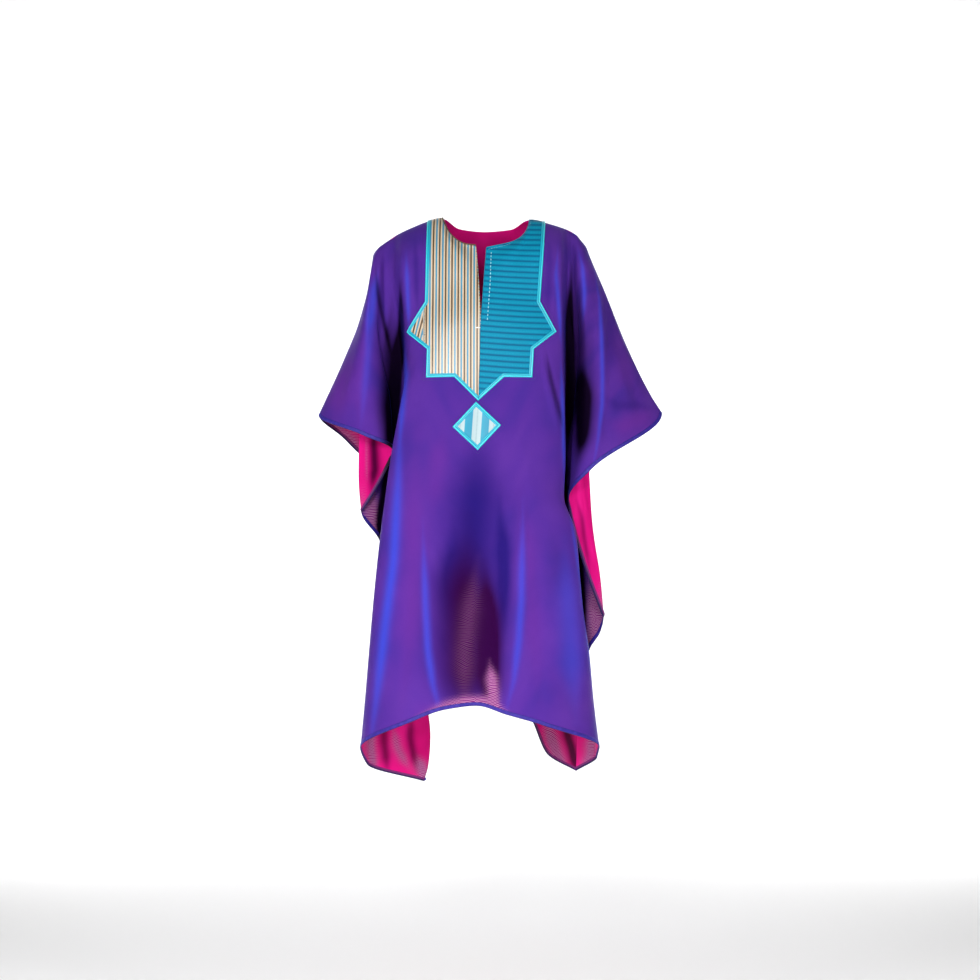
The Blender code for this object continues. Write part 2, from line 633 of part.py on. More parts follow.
def main():
    for stale in list(bpy.data.objects):
        bpy.data.objects.remove(stale, do_unlink=True)
    kaftan = bpy.data.collections.new("kaftan")
    bpy.context.scene.collection.children.link(kaftan)

    rows = row_steps()
    parts = panel_parts(rows)
    whole = Sheet()
    panels = {"front": Sheet(), "back": Sheet()}
    halves = {}
    for (panel, side), grid in parts.items():
        add_half(whole, panel, side, grid)
        add_half(panels[panel], panel, side, grid)
        if panel == "front":
            halves[side] = Sheet()
            add_half(halves[side], panel, side, grid)
    normals = surface_normals(whole.points, whole.triangles)
    for i, point in enumerate(whole.points):
        if abs(point[1]) < 1e-9:
            normals[i][1] = 0.0
            normals[i] /= np.linalg.norm(normals[i])

    def sheet_normals(sheet):
        return [normals[whole.index[key]] for key in sheet.index]

    for panel, sheet in panels.items():
        other = panels["back" if panel == "front" else "front"]
        points = draw_back(sheet, shared_with_other(sheet, other), SEAM_GAP / 2, -1 if panel == "front" else 1)
        build_wall(panel + "_panel", points, sheet_normals(sheet), sheet.triangles, -WALL / 2, WALL / 2, kaftan)

    low = WALL / 2 + SEAM_GAP
    half_gap = SEAM_GAP / 2
    edge = yoke_outline(0.0)
    seam_out = yoke_outline(BINDING_WIDTH - half_gap)
    seam_in = yoke_outline(BINDING_WIDTH + half_gap)
    slit_row_index = int(np.argmin(abs(rows - slit_row())))
    for side, cloth in (("left", "striped"), ("right", "ribbed")):
        half = halves[side]
        line = np.array([row[0] for row in parts["front", side]])[slit_row_index:]
        middle = (line, -1 if side == "left" else 1)
        work, layer = cut_sheet(half.points, sheet_normals(half), half.triangles,
                                [(edge, False), (seam_out, False), (seam_in, False)])
        region_wall("yoke_" + cloth, work, layer, lambda p: inside(p, seam_in), middle,
                    low, low + APPLIQUE_WALL, kaftan)
        region_wall("yoke_binding_" + cloth, work, layer,
                    lambda p: inside(p, edge) and not inside(p, seam_out), middle,
                    low, low + BINDING_WALL, kaftan)
        work.free()

    edge = diamond_outline(0.0)
    seam_out = diamond_outline(BINDING_WIDTH - half_gap)
    seam_in = diamond_outline(BINDING_WIDTH + half_gap)
    front = panels["front"]
    work, layer = cut_sheet(front.points, sheet_normals(front), front.triangles,
                            [(edge, True), (seam_out, True), (seam_in, True)])
    region_wall("diamond", work, layer, lambda p: inside(p, seam_in), None,
                low, low + APPLIQUE_WALL, kaftan)
    region_wall("diamond_binding", work, layer,
                lambda p: inside(p, edge) and not inside(p, seam_out), None,
                low, low + BINDING_WALL, kaftan)
    work.free()

    def normal_at(point):
        return normals[whole.index[tuple(np.round(np.asarray(point) * 1e6).astype(int))]]

    path, outward = neck_edge(parts["front", "left"], normal_at)
    build_piping("neck_piping_brown", path, outward, kaftan)


main()
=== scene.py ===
"""Looks of a kaftan in shot voile: two wide panels, a star yoke in two cloths, and a diamond under it.

The cloth follows fold lines, as tables of height, across and depth in millimetres, and rows run
smoothly from line to line. Creases are soft ridges and troughs along short paths seen from the front
or the back. What is sewn on lies on the front panel's own surface, moved out along its normal.
"""
import math

import bmesh
import bpy
import numpy as np
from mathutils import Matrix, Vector


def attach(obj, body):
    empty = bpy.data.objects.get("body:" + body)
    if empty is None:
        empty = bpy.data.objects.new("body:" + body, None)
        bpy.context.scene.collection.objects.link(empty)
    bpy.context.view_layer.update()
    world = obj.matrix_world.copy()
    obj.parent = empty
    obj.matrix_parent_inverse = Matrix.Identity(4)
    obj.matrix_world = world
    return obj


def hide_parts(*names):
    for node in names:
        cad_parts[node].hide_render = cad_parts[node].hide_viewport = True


MM = 0.001

# Cloth grid: spacing of its columns in millimetres, its rows from the shoulder to the cuff row, from there to
# the top of the side seam and from there to the hem, and the middle row that the chest surface ends before.
GRID = 5.3
UPPER_ROWS = 70
SLIT_ROWS = 46
SKIRT_ROWS = 43
CHEST_ROWS = 34

# Cloth thickness, and how far down the shoulder is rounded, in millimetres.
CLOTH_THICK = 0.9
SHOULDER_DROP = 70.0

# Neck slit: how far it is open at its top, and the height where it closes.
SLIT_OPEN = 19.0
SLIT_TOP = -53.0
SLIT_END = -209.0

FRONT_LINES = ["centre", "chest", "neck", "fold", "valley", "pleat_out", "pleat_in", "sleeve", "arm"]
FRONT_LOW = 5
BACK_LINES = ["centre", "nape", "neck", "fold", "edge", "sleeve", "arm"]
BACK_LOW = 4

# Height of each line at the shoulder, at the cuff row, at the top of the side seam, and at the hem.
FRONT_STATIONS = {
    "right": {
        "centre": (-53, -400, -640, -903),
        "chest": (-49, -402, -650, -918),
        "neck": (3, -405, -665, -940),
        "fold": (-10, -440, -700, -994),
        "valley": (-17, -492, -770, -1022),
        "pleat_out": (-21, -751, -854, -1053),
        "pleat_in": (-25, -526),
        "sleeve": (-33, -472),
        "arm": (-55, -363),
    },
    "left": {
        "centre": (-53, -400, -640, -903),
        "chest": (-46, -401, -642, -909),
        "neck": (6, -404, -647, -931),
        "fold": (-19, -415, -665, -995),
        "valley": (-33, -430, -690, -1036),
        "pleat_out": (-38, -553, -718, -1079),
        "pleat_in": (-43, -436),
        "sleeve": (-49, -409),
        "arm": (-67, -367),
    },
}
BACK_STATIONS = {
    "right": {
        "centre": (-12, -400, -640, -905),
        "nape": (-9, -401, -650, -920),
        "neck": (3, -402, -660, -945),
        "fold": (-10, -410, -720, -1031),
        "edge": (-25, -446, -854, -1053),
        "sleeve": (-33, -397),
        "arm": (-55, -363),
    },
    "left": {
        "centre": (-12, -400, -640, -905),
        "nape": (-8, -401, -642, -912),
        "neck": (6, -402, -645, -925),
        "fold": (-19, -410, -665, -985),
        "edge": (-43, -459, -718, -1079),
        "sleeve": (-49, -406),
        "arm": (-67, -367),
    },
}

# Fold lines of the front, by side: rows of (height, across, depth).
FRONT_FOLDS = {
    "right": {
        "centre": [(-53, -4, -59), (-120, -3, -92), (-209, -4, -118), (-345, -8, -134),
                   (-530, -10, -136), (-720, -11, -138), (-903, -11, -143)],
        "chest": [(-49, 52, -50), (-75, 43, -76), (-140, 42, -98), (-210, 38, -119), (-345, 36, -136),
                  (-530, 37, -139), (-720, 40, -142), (-918, 42, -149)],
        "neck": [(3, 89, -40), (-14, 100, -48), (-80, 100, -79), (-160, 98, -98), (-215, 96, -114),
                 (-345, 94, -130), (-530, 98, -131), (-720, 105, -132), (-940, 112, -136)],
        "fold": [(-10, 146, -40), (-75, 143, -72), (-155, 145, -86), (-230, 146, -94), (-345, 151, -96),
                 (-450, 153, -92), (-522, 150, -86), (-590, 173, -82), (-675, 181, -75), (-735, 187, -68),
                 (-815, 199, -58), (-900, 207, -48), (-994, 219, -34)],
        "valley": [(-17, 161, -20), (-90, 160, -38), (-150, 158, -32), (-245, 157, -24), (-340, 156, -14),
                   (-432, 154, -4), (-525, 150, 4), (-605, 156, 6), (-700, 166, 4), (-770, 176, 0),
                   (-850, 194, 2), (-930, 208, 12), (-1022, 218, 30)],
        "pleat_out": [(-21, 169, -20), (-110, 170, -32), (-205, 173, -30), (-300, 184, -24),
                      (-395, 195, -24), (-490, 201, -26), (-560, 205, -26), (-604, 210, -26),
                      (-670, 221, -26), (-751, 227, -26), (-776, 222, -20), (-810, 203, -4),
                      (-854, 193, 30)],
        "pleat_in": [(-25, 177, -20), (-110, 179, -44), (-207, 182, -46), (-303, 175, -47), (-398, 168, -51),
                     (-472, 164, -55), (-526, 160, -58)],
        "sleeve": [(-33, 184, -24), (-65, 186, -38), (-150, 189, -56), (-248, 194, -67), (-344, 197, -75),
                   (-420, 201, -80), (-472, 200, -82)],
        "arm": [(-55, 198, 0), (-68, 203, 0), (-125, 228, 0), (-239, 274, 0), (-330, 319, 0), (-363, 340, 0)],
    },
    "left": {
        "centre": [(-53, -4, -59), (-120, -3, -92), (-209, -4, -118), (-345, -8, -134),
                   (-530, -10, -136), (-720, -11, -138), (-903, -11, -143)],
        "chest": [(-46, -45, -50), (-75, -38, -78), (-140, -41, -98), (-210, -45, -119), (-345, -49, -137),
                  (-530, -53, -138), (-720, -60, -141), (-909, -66, -147)],
        "neck": [(6, -79, -40), (-12, -90, -48), (-80, -93, -77), (-160, -96, -97), (-215, -99, -113),
                 (-345, -101, -130), (-530, -107, -132), (-720, -116, -133), (-931, -126, -138)],
        "fold": [(-19, -152, -40), (-75, -149, -70), (-155, -142, -84), (-250, -135, -94),
                 (-345, -151, -96), (-435, -168, -94), (-545, -184, -87), (-640, -196, -80),
                 (-770, -209, -68), (-905, -221, -54), (-995, -230, -42)],
        "valley": [(-33, -173, -20), (-110, -170, -38), (-205, -160, -28), (-300, -152, -19),
                   (-395, -147, -8), (-490, -147, 0), (-585, -155, 2), (-690, -170, -4), (-780, -190, 0),
                   (-900, -210, 16), (-1036, -223, 40)],
        "pleat_out": [(-38, -183, -20), (-110, -185, -34), (-187, -183, -32), (-263, -195, -24),
                      (-338, -221, -23), (-404, -233, -25), (-480, -235, -26), (-553, -229, -26),
                      (-605, -196, -10), (-718, -173, 30)],
        "pleat_in": [(-43, -190, -20), (-110, -196, -46), (-190, -199, -48), (-265, -189, -45),
                     (-342, -173, -48), (-398, -169, -53), (-436, -168, -56)],
        "sleeve": [(-49, -198, -24), (-80, -206, -38), (-150, -213, -55), (-248, -216, -64),
                   (-344, -218, -71), (-409, -219, -72)],
        "arm": [(-67, -209, 0), (-125, -216, 0), (-171, -228, 0), (-262, -264, 0), (-367, -312, 0)],
    },
}

# Fold lines of the back, by side: rows of (height, across, depth).
BACK_FOLDS = {
    "right": {
        "centre": [(-12, 2, 52), (-60, 1, 78), (-150, 0, 100), (-300, -1, 112), (-500, -2, 118),
                   (-700, -3, 130), (-905, -4, 148)],
        "nape": [(-9, 52, 44), (-60, 50, 78), (-150, 47, 102), (-300, 44, 112), (-500, 42, 119),
                 (-710, 41, 131), (-920, 40, 147)],
        "neck": [(3, 89, 40), (-70, 88, 84), (-150, 86, 103), (-300, 84, 112), (-500, 82, 119),
                 (-720, 82, 130), (-945, 84, 140)],
        "fold": [(-10, 146, 40), (-80, 148, 76), (-200, 152, 94), (-400, 158, 100), (-600, 157, 106),
                 (-800, 146, 114), (-1031, 129, 121)],
        "edge": [(-25, 177, 22), (-110, 178, 48), (-250, 182, 44), (-360, 193, 52), (-446, 206, 58),
                 (-560, 200, 52), (-700, 199, 40), (-800, 197, 32), (-854, 193, 30)],
        "sleeve": [(-33, 184, 26), (-110, 210, 50), (-230, 245, 62), (-397, 285, 60)],
        "arm": [(-55, 198, 0), (-68, 203, 0), (-125, 228, 0), (-239, 274, 0), (-330, 319, 0), (-363, 340, 0)],
    },
    "left": {
        "centre": [(-12, 2, 52), (-60, 1, 78), (-150, 0, 100), (-300, -1, 112), (-500, -2, 118),
                   (-700, -3, 130), (-905, -4, 148)],
        "nape": [(-8, -44, 43), (-60, -44, 78), (-150, -44, 102), (-300, -45, 112), (-500, -46, 119),
                 (-710, -48, 132), (-912, -50, 150)],
        "neck": [(6, -79, 40), (-70, -80, 84), (-150, -80, 103), (-300, -83, 112), (-500, -85, 120),
                 (-700, -88, 134), (-925, -92, 152)],
        "fold": [(-19, -152, 40), (-80, -152, 76), (-200, -155, 94), (-400, -160, 100), (-600, -166, 108),
                 (-800, -172, 122), (-985, -178, 138)],
        "edge": [(-43, -190, 22), (-110, -186, 48), (-250, -184, 46), (-360, -193, 54), (-459, -206, 60),
                 (-560, -184, 52), (-640, -174, 40), (-718, -173, 30)],
        "sleeve": [(-49, -198, 26), (-110, -212, 48), (-250, -245, 62), (-406, -273, 58)],
        "arm": [(-67, -209, 0), (-125, -216, 0), (-171, -228, 0), (-262, -264, 0), (-367, -312, 0)],
    },
}

# Side seams below the slits, by side: rows of (height, across, depth).
SIDE_SEAMS = {
    "right": [(-854, 193, 30), (-912, 186, 50), (-988, 182, 62), (-1053, 180, 70)],
    "left": [(-718, -173, 30), (-838, -138, 64), (-930, -109, 87), (-990, -103, 96), (-1045, -107, 104),
             (-1079, -116, 108)],
}

# Front neck edge from the slit to the shoulder seam, by side: rows of (across, depth, height).
NECKLINE = {
    "left": [(-13.5, -59, -54), (-33.5, -56, -51), (-44, -53, -46.5), (-55, -49, -38.6), (-65, -42, -27),
             (-72, -31, -14.5), (-76.5, -17, -3), (-79, 0, 6)],
    "right": [(7, -60, -57), (22.6, -58, -53.5), (41.4, -56, -49.5), (57.5, -52, -44.6), (69, -47, -38.1),
              (78, -41, -29), (84.5, -31, -18), (88, -17, -6), (89, 0, 3)],
}
NECKLINE_FADE = 75.0

# Lines that start on the rounded top of the shoulder.
ROUNDED = ("neck", "fold", "valley", "pleat_out", "pleat_in", "sleeve", "edge")

# Creases: (panel, first line, last line, [(across, height), ...], half width, height of the crease), in
# millimetres. A line number counts the fold lines from the centre, negative on the left half.
CREASES = [
    ("front", -3, 3, [(-108, -600), (-107, -700), (-104, -785), (-84, -905)], 9.0, 4.5),
    ("front", -3, 3, [(72, -540), (71, -640), (68, -715), (48, -895)], 8.5, 4.0),
    ("front", -3, 3, [(-88, -590), (-84, -720), (-58, -900)], 13.0, -2.6),
    ("front", -3, 3, [(52, -560), (46, -700), (22, -890)], 12.0, -2.6),
    ("front", -3, 3, [(-20, -620), (-16, -760), (-14, -905)], 26.0, -3.0),
    ("front", -3, 3, [(43, -470), (38, -560), (33, -690)], 9.0, -2.4),
    ("front", -3, 3, [(-150, -520), (-160, -640), (-172, -800), (-186, -950)], 15.0, 2.6),
    ("front", -3, 3, [(-132, -620), (-142, -760), (-150, -930)], 14.0, -2.2),
    ("front", -3, 3, [(-70, -400), (-88, -480), (-98, -590)], 16.0, 1.8),
    ("front", -3, 3, [(60, -390), (82, -470), (98, -580)], 15.0, 1.8),
    ("front", -3, 3, [(118, -560), (128, -700), (140, -860)], 17.0, 2.4),
    ("front", -3, 3, [(98, -640), (104, -780), (108, -920)], 15.0, -2.2),
    ("front", -3, 3, [(160, -700), (168, -820), (172, -960)], 13.0, -1.8),
    ("front", -3, -2, [(-134, -60), (-133, -120), (-128, -180)], 7.0, 2.0),
    ("front", 2, 3, [(134, -50), (132, -110), (131, -180)], 7.0, 2.0),
    ("front", -3, -2, [(-122, -270), (-134, -330), (-150, -420)], 9.0, 2.2),
    ("front", 2, 3, [(107, -255), (114, -293), (123, -330), (132, -368), (140, -405)], 6.0, 3.2),
    ("front", 2, 3.5, [(118, -262), (126, -305), (134, -336), (142, -365), (149, -400)], 4.5, -3.0),
    ("front", 6.6, 8, [(206, -70), (219, -153), (222, -220), (223, -300), (222, -350), (214, -415),
     (200, -500)], 8.0, 3.4),
    ("front", 7, 8, [(214, -70), (246, -190), (282, -400)], 17.0, 2.6),
    ("front", 7, 8, [(214, -110), (262, -260), (300, -380)], 12.0, -2.0),
    ("front", 7, 8, [(205, -200), (218, -320), (232, -440)], 13.0, -2.2),
    ("front", -8, -7, [(-216, -110), (-232, -230), (-262, -385)], 14.0, 2.4),
    ("front", -8, -7, [(-214, -200), (-226, -300), (-240, -395)], 9.0, -2.0),
    ("front", -8, -7, [(-222, -150), (-250, -280), (-285, -372)], 10.0, -1.6),
    ("back", -4, 4, [(-8, -110), (-6, -300), (-12, -560), (-8, -890)], 22.0, -3.0),
    ("back", -4, 4, [(-58, -140), (-66, -380), (-74, -640), (-84, -900)], 16.0, 3.2),
    ("back", -4, 4, [(62, -150), (66, -360), (58, -620), (56, -900)], 15.0, 3.2),
    ("back", -4, 4, [(-104, -120), (-118, -320), (-126, -600), (-134, -930)], 15.0, -2.8),
    ("back", -4, 4, [(112, -130), (122, -340), (112, -620), (100, -940)], 15.0, -2.8),
    ("back", -4, 4, [(-146, -260), (-150, -480), (-152, -760)], 12.0, 2.2),
    ("back", -4, 4, [(146, -240), (144, -500), (132, -820)], 12.0, 2.2),
    ("back", 4, 6, [(212, -120), (246, -260), (268, -385)], 13.0, 2.4),
    ("back", -6, -4, [(-214, -130), (-236, -260), (-256, -390)], 13.0, 2.4),
    ("back", 4, 6, [(206, -190), (226, -300), (238, -400)], 10.0, -2.0),
    ("back", -6, -4, [(-206, -200), (-222, -310), (-232, -405)], 10.0, -2.0),
]

# Painted light and shade of the cloth in places: same columns as the creases, with a strength last. In order:
# painted sheen, blue where the blue yarn shows on ridges and edges; painted light, pinker where the cloth
# faces the light; painted shade, dark blue in the middle; painted shade, dark wine where light falls through
# to the hollow inside; painted light coming through sheer cloth, which shows a moire; painted shade in the
# bottoms of deep folds; painted shade in the troughs of the inner face.
STROKES = {
    # Painted sheen: blue along ridges and edges.
    "blue": [
        ("front", -4, -2, [(-150, -225), (-142, -297), (-148, -361), (-153, -435)], 6.0, 0.7),
        ("front", -4, -2, [(-149, -330), (-156, -500), (-164, -639), (-179, -750), (-192, -861),
         (-216, -1040)], 10.0, 0.85),
        ("front", -3, 3, [(-110, -560), (-107, -655), (-104, -728), (-100, -802), (-91, -865), (-64, -960)],
         7.0, 0.65),
        ("front", -3, 3, [(74, -520), (72, -637), (71, -710), (66, -783), (57, -856), (36, -940)], 7.0, 0.65),
        ("front", 2, 4, [(143, -250), (147, -345), (150, -450), (150, -520)], 4.0, 0.7),
        ("front", 2, 4, [(150, -500), (162, -560), (182, -680), (200, -815), (216, -980)], 3.5, 0.7),
        ("front", -4, -2, [(-143, -60), (-139, -150), (-136, -225)], 4.5, 0.6),
        ("front", 2, 4, [(140, -50), (136, -110), (142, -190), (146, -260)], 4.0, 0.6),
        ("front", 6, 8, [(178, -50), (187, -90), (190, -140), (186, -210)], 4.5, 0.6),
        ("front", 6, 8, [(206, -70), (219, -153), (222, -220), (223, -300), (222, -350), (214, -415),
         (200, -500)], 4.0, 0.65),
        ("front", -8, -6, [(-196, -90), (-206, -150), (-218, -230)], 8.0, 0.6),
        ("front", -8, -6, [(-199, -130), (-212, -230), (-222, -330), (-228, -405)], 8.0, 0.35),
        ("front", 2, 3.4, [(150, -600), (160, -760), (172, -940)], 22.0, 0.45),
    ],
    # Painted light: lighter and pinker where the cloth faces the light.
    "pink_light": [
        ("front", -3, 3, [(-120, -400), (-126, -560), (-130, -729), (-137, -821), (-152, -930)], 22.0, 0.6),
        ("front", -3, 3, [(-70, -395), (-84, -470), (-92, -560)], 20.0, 0.5),
        ("front", -3, 3, [(62, -480), (78, -600), (94, -784), (105, -900)], 20.0, 0.5),
        ("front", -3, 3, [(-85, -900), (-120, -940)], 22.0, 0.4),
        ("front", 6.5, 8, [(228, -380), (262, -390), (300, -375), (330, -350)], 20.0, 0.7),
        ("front", 7, 8, [(246, -180), (272, -290), (296, -350)], 22.0, 0.4),
        ("front", -8, -7, [(-250, -240), (-268, -320), (-276, -385)], 30.0, 0.6),
        ("front", -8, -7, [(-222, -200), (-226, -300), (-232, -400)], 9.0, 0.5),
    ],
    # Painted shade: dark blue in the middle, at the shoulders and on the sleeves.
    "dark_blue_shade": [
        ("front", -3, 3, [(0, -380), (-10, -480), (-16, -560), (-21, -640), (-20, -820)], 52.0, 1.0),
        ("front", -3, 3, [(28, -520), (38, -600), (40, -660), (38, -720), (30, -830)], 14.0, 0.9),
        ("front", -3, 3, [(-52, -560), (-62, -660), (-66, -760), (-66, -900)], 24.0, 0.6),
        ("front", -3, -2, [(-128, -30), (-124, -90), (-121, -190)], 6.0, 0.5),
        ("front", 2, 3, [(124, -30), (124, -90), (120, -190)], 8.0, 0.45),
        ("front", 6, 8, [(218, -330), (250, -352), (290, -350), (330, -356)], 9.0, 0.45),
        ("front", 6, 8, [(236, -120), (238, -220), (240, -300)], 16.0, 0.4),
    ],
    # Painted shade: dark wine where light falls through to the hollow inside.
    "wine_shade": [
        ("front", -3, 3, [(-26, -560), (-32, -680), (-34, -800), (-34, -980)], 48.0, 1.05),
        ("front", -3, 3, [(4, -640), (12, -720), (17, -790), (16, -860), (6, -960)], 19.0, 1.1),
    ],
    # Painted light coming through the sheer cloth, with a moire.
    "sheer_backlight": [
        ("front", -3, 3, [(-125, -925), (-99, -915), (-67, -905), (-31, -896), (2, -896), (30, -906),
         (60, -925)], 9.5, 1.3),
        ("front", -3, 3, [(12, -820), (16, -850), (19, -875), (22, -925)], 9.5, 1.3),
        ("front", -3, 3, [(-8, -630), (-14, -665), (-26, -745), (-33, -800), (-33, -885), (-33, -930)],
         17.0, 0.2),
        ("front", -5, -4.2, [(-222, -480), (-212, -540), (-206, -580), (-192, -640)], 17.0, 1.2),
        ("front", 4.2, 5, [(200, -660), (212, -720), (216, -785), (200, -860)], 20.0, 1.2),
        ("front", -6, -5, [(-219, -390), (-219, -450), (-219, -510)], 2.5, 0.4),
        ("back", -6, -4.6, [(-340, -350), (-276, -402), (-216, -445)], 17.0, 1.2),
        ("front", -5, -3.6, [(-214, -930), (-216, -1000), (-208, -1080)], 9.0, 1.1),
        ("front", -5, -4.4, [(-134, -1020), (-122, -1048), (-106, -1100)], 12.0, 1.2),
        ("front", -5, -4.0, [(-176, -960), (-166, -1010), (-140, -1060)], 9.0, 0.8),
        ("back", 2.4, 3.7, [(118, -950), (143, -1024), (168, -1080)], 14.0, 1.2),
        ("front", 4, 5, [(210, -960), (207, -1020), (190, -1070)], 12.0, 1.1),
    ],
    "shade": [
        ("front", -8, -3.3, [(-203, -75), (-197, -139), (-192, -171), (-184, -205), (-170, -270)], 4.5, 0.75),
        ("front", -6, -3.3, [(-156, -110), (-153, -163), (-151, -210), (-150, -290)], 4.5, 0.9),
        ("front", -8, -3.3, [(-151, -120), (-155, -200), (-160, -270), (-165, -330), (-170, -390),
         (-176, -440), (-181, -540)], 10.5, 1.6),
        ("front", -8, -3.3, [(-170, -150), (-178, -250), (-184, -350), (-190, -450)], 15.0, 0.8),
        ("front", 3.3, 8, [(171, -50), (166, -120), (162, -200), (164, -300), (161, -400), (156, -480)],
         9.0, 1.5),
        ("front", 3.3, 8, [(178, -110), (183, -230), (190, -330), (182, -420), (168, -500)], 17.0, 0.7),
        ("front", 3.3, 8, [(178, -260), (189, -340), (188, -400), (172, -480)], 18.0, 0.75),
        ("front", 3.3, 8, [(158, -420), (154, -500), (152, -590)], 4.5, 1.6),
        ("front", 2, 4, [(112, -245), (118, -262), (126, -305), (134, -336), (142, -365), (152, -415)], 4.0,
         0.6),
        ("front", -5, -3.3, [(-174, -420), (-184, -500), (-193, -550), (-200, -640)], 8.0, 1.8),
        ("front", 3.3, 5, [(152, -480), (172, -570), (182, -640), (188, -720), (196, -830)], 8.0, 1.8),
        ("back", 4.4, 6, [(196, -90), (214, -200), (232, -300), (246, -440)], 8.0, 0.35),
    ],
    # Painted shade in the troughs of the inner face and inside the back neck.
    "deep": [
        ("front", -6, -5, [(-207, -370), (-205, -430), (-203, -470), (-214, -530)], 10.0, 1.1),
        ("front", 5, 6, [(172, -520), (186, -560), (190, -600), (204, -680)], 5.0, 0.6),
        ("back", 3.2, 4, [(150, -940), (172, -1010), (186, -1080)], 11.0, 1.1),
        ("front", -5, -4, [(-138, -930), (-142, -990), (-128, -1070)], 8.0, 0.8),
        ("front", -5, -3.6, [(-190, -930), (-192, -990), (-184, -1070)], 9.0, 0.8),
        ("back", -4, 4, [(-90, -20), (0, -70), (90, -20)], 50.0, 0.55),
    ],
}

# Yoke: half width and height of each corner of its outline, about an axis that leans a little.
YOKE_CORNERS = [(113, 40), (106.4, -161), (138.5, -217), (98, -250.4), (97.2, -303), (45.7, -302.5),
                (0, -346.2)]
YOKE_AXIS_TOP = 6.6
YOKE_AXIS_LEAN = 0.0434
BINDING_WIDTH = 7.0
DIAMOND_CENTRE = (-10.8, -392.0)
DIAMOND_REACH = 44.6
DIAMOND_TURN = math.radians(2.0)

# Heights over the middle of the panel cloth, in millimetres.
YOKE_TOP = 2.3
YOKE_THICK = 1.6

# Turned hems: width, half thickness, and the stitch line's distance from the edge.
HEM_WIDTH = 7.2
HEM_HALF = 1.0
HEM_STITCH = 5.9

# Small dark stitches beside hems and bindings: length of a dash, and half its width. Every dash sinks into
# the cloth by a share of its half width.
SMALL_DASH = 2.6
SMALL_HALF = 0.28
STITCH_SINK = 0.25

# Height where the stitches beside the yoke's binding start, just below the shoulder seam.
STITCH_TOP = -4

# Camera: place, focal length and sensor width of a view straight at the garment, and the floor's height.
CAMERA_PLACE = (0.0133, -3.6, -0.5092)
CAMERA_LENS = 69.6
CAMERA_SENSOR = 36.0
FLOOR = -1.47

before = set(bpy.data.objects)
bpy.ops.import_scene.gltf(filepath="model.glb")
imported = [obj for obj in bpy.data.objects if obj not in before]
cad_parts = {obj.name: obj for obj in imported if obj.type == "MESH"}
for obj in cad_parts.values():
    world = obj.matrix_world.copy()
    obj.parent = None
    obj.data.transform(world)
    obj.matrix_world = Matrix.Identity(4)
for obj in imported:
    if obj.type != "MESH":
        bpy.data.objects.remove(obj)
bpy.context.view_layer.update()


def smooth_table(knots, values, at, first=None, last=None):
    """Monotone cubic through the knots: slopes are harmonic means, so it never overshoots."""
    knots = np.asarray(knots, float)
    values = np.asarray(values, float)
    at = np.clip(np.asarray(at, float), knots[0], knots[-1])
    step = np.diff(knots)
    rise = np.diff(values) / step
    slope = np.zeros(len(knots))
    slope[0] = rise[0] if first is None else first
    slope[-1] = rise[-1] if last is None else last
    for i in range(1, len(knots) - 1):
        if rise[i - 1] * rise[i] > 0:
            early = 2 * step[i] + step[i - 1]
            late = step[i] + 2 * step[i - 1]
            slope[i] = (early + late) / (early / rise[i - 1] + late / rise[i])
    place = np.clip(np.searchsorted(knots, at, side="right") - 1, 0, len(step) - 1)
    part = (at - knots[place]) / step[place]
    low = values[place]
    high = values[place + 1]
    bend_low = slope[place] * step[place]
    bend_high = slope[place + 1] * step[place]
    square = part * part
    cube = square * part
    return (low * (2 * cube - 3 * square + 1) + bend_low * (cube - 2 * square + part)
            + high * (3 * square - 2 * cube) + bend_high * (cube - square))


def smooth_step(value):
    """Zero below 0, one above 1, and 3t^2 - 2t^3 between."""
    t = np.clip(value, 0, 1)
    return t * t * (3 - 2 * t)


def path_length(path):
    """Distance along a path at each of its points."""
    return np.concatenate([[0.0], np.cumsum(np.linalg.norm(np.diff(path, axis=0), axis=1))])


def unit(vectors):
    """The same directions at length one."""
    return vectors / np.linalg.norm(vectors, axis=-1, keepdims=True)


def grid_quads(ids):
    """Faces between the neighbouring places of a grid of point numbers."""
    return np.stack([ids[:-1, :-1], ids[:-1, 1:], ids[1:, 1:], ids[1:, :-1]], axis=-1).reshape(-1, 4)


def fold_line(stations, table, rows, rounded):
    """Points of one fold line at the given rows; the shoulder is rounded off as a quarter ellipse."""
    rows = np.clip(np.asarray(rows, float), 0, len(stations) - 1)
    height = smooth_table(range(len(stations)), stations, rows)
    levels = [-row[0] for row in table]
    across = smooth_table(levels, [row[1] for row in table], -height)
    depth = smooth_table(levels, [row[2] for row in table], -height)
    if rounded:
        drop = np.clip((stations[0] - height) / SHOULDER_DROP, 0, 1)
        depth = depth * np.sqrt(1 - (1 - drop) ** 2)
    return np.stack([across, depth, height], axis=-1)


def side_seam(side, rows):
    """Points of a side seam, for rows from its top to the hem."""
    table = SIDE_SEAMS[side]
    height = table[0][0] + (table[-1][0] - table[0][0]) * np.clip(np.asarray(rows) - 2, 0, 1)
    levels = [-row[0] for row in table]
    across = smooth_table(levels, [row[1] for row in table], -height)
    depth = smooth_table(levels, [row[2] for row in table], -height)
    return np.stack([across, depth, height], axis=-1)


def smooth_row(points, counts, turned):
    """Curve from the centre through key points, counts[i] even steps after point i.

    Each coordinate is a monotone cubic over the chord length, so a fold turns round at its own line.
    The row starts square to the centre line. A turned row ends pointing to the back, as over an arm.
    """
    chord = np.concatenate([[0.0], np.cumsum(np.linalg.norm(np.diff(points, axis=0), axis=1) + 1e-3)])
    at = [[chord[0]]]
    for i, count in enumerate(counts):
        at.append(chord[i] + (chord[i + 1] - chord[i]) * np.arange(1, count + 1) / count)
    at = np.concatenate(at)
    across = smooth_table(chord, points[:, 0], at, last=0.0 if turned else None)
    depth = smooth_table(chord, points[:, 1], at, first=0.0)
    height = smooth_table(chord, points[:, 2], at, first=0.0)
    return np.stack([across, depth, height], axis=-1)


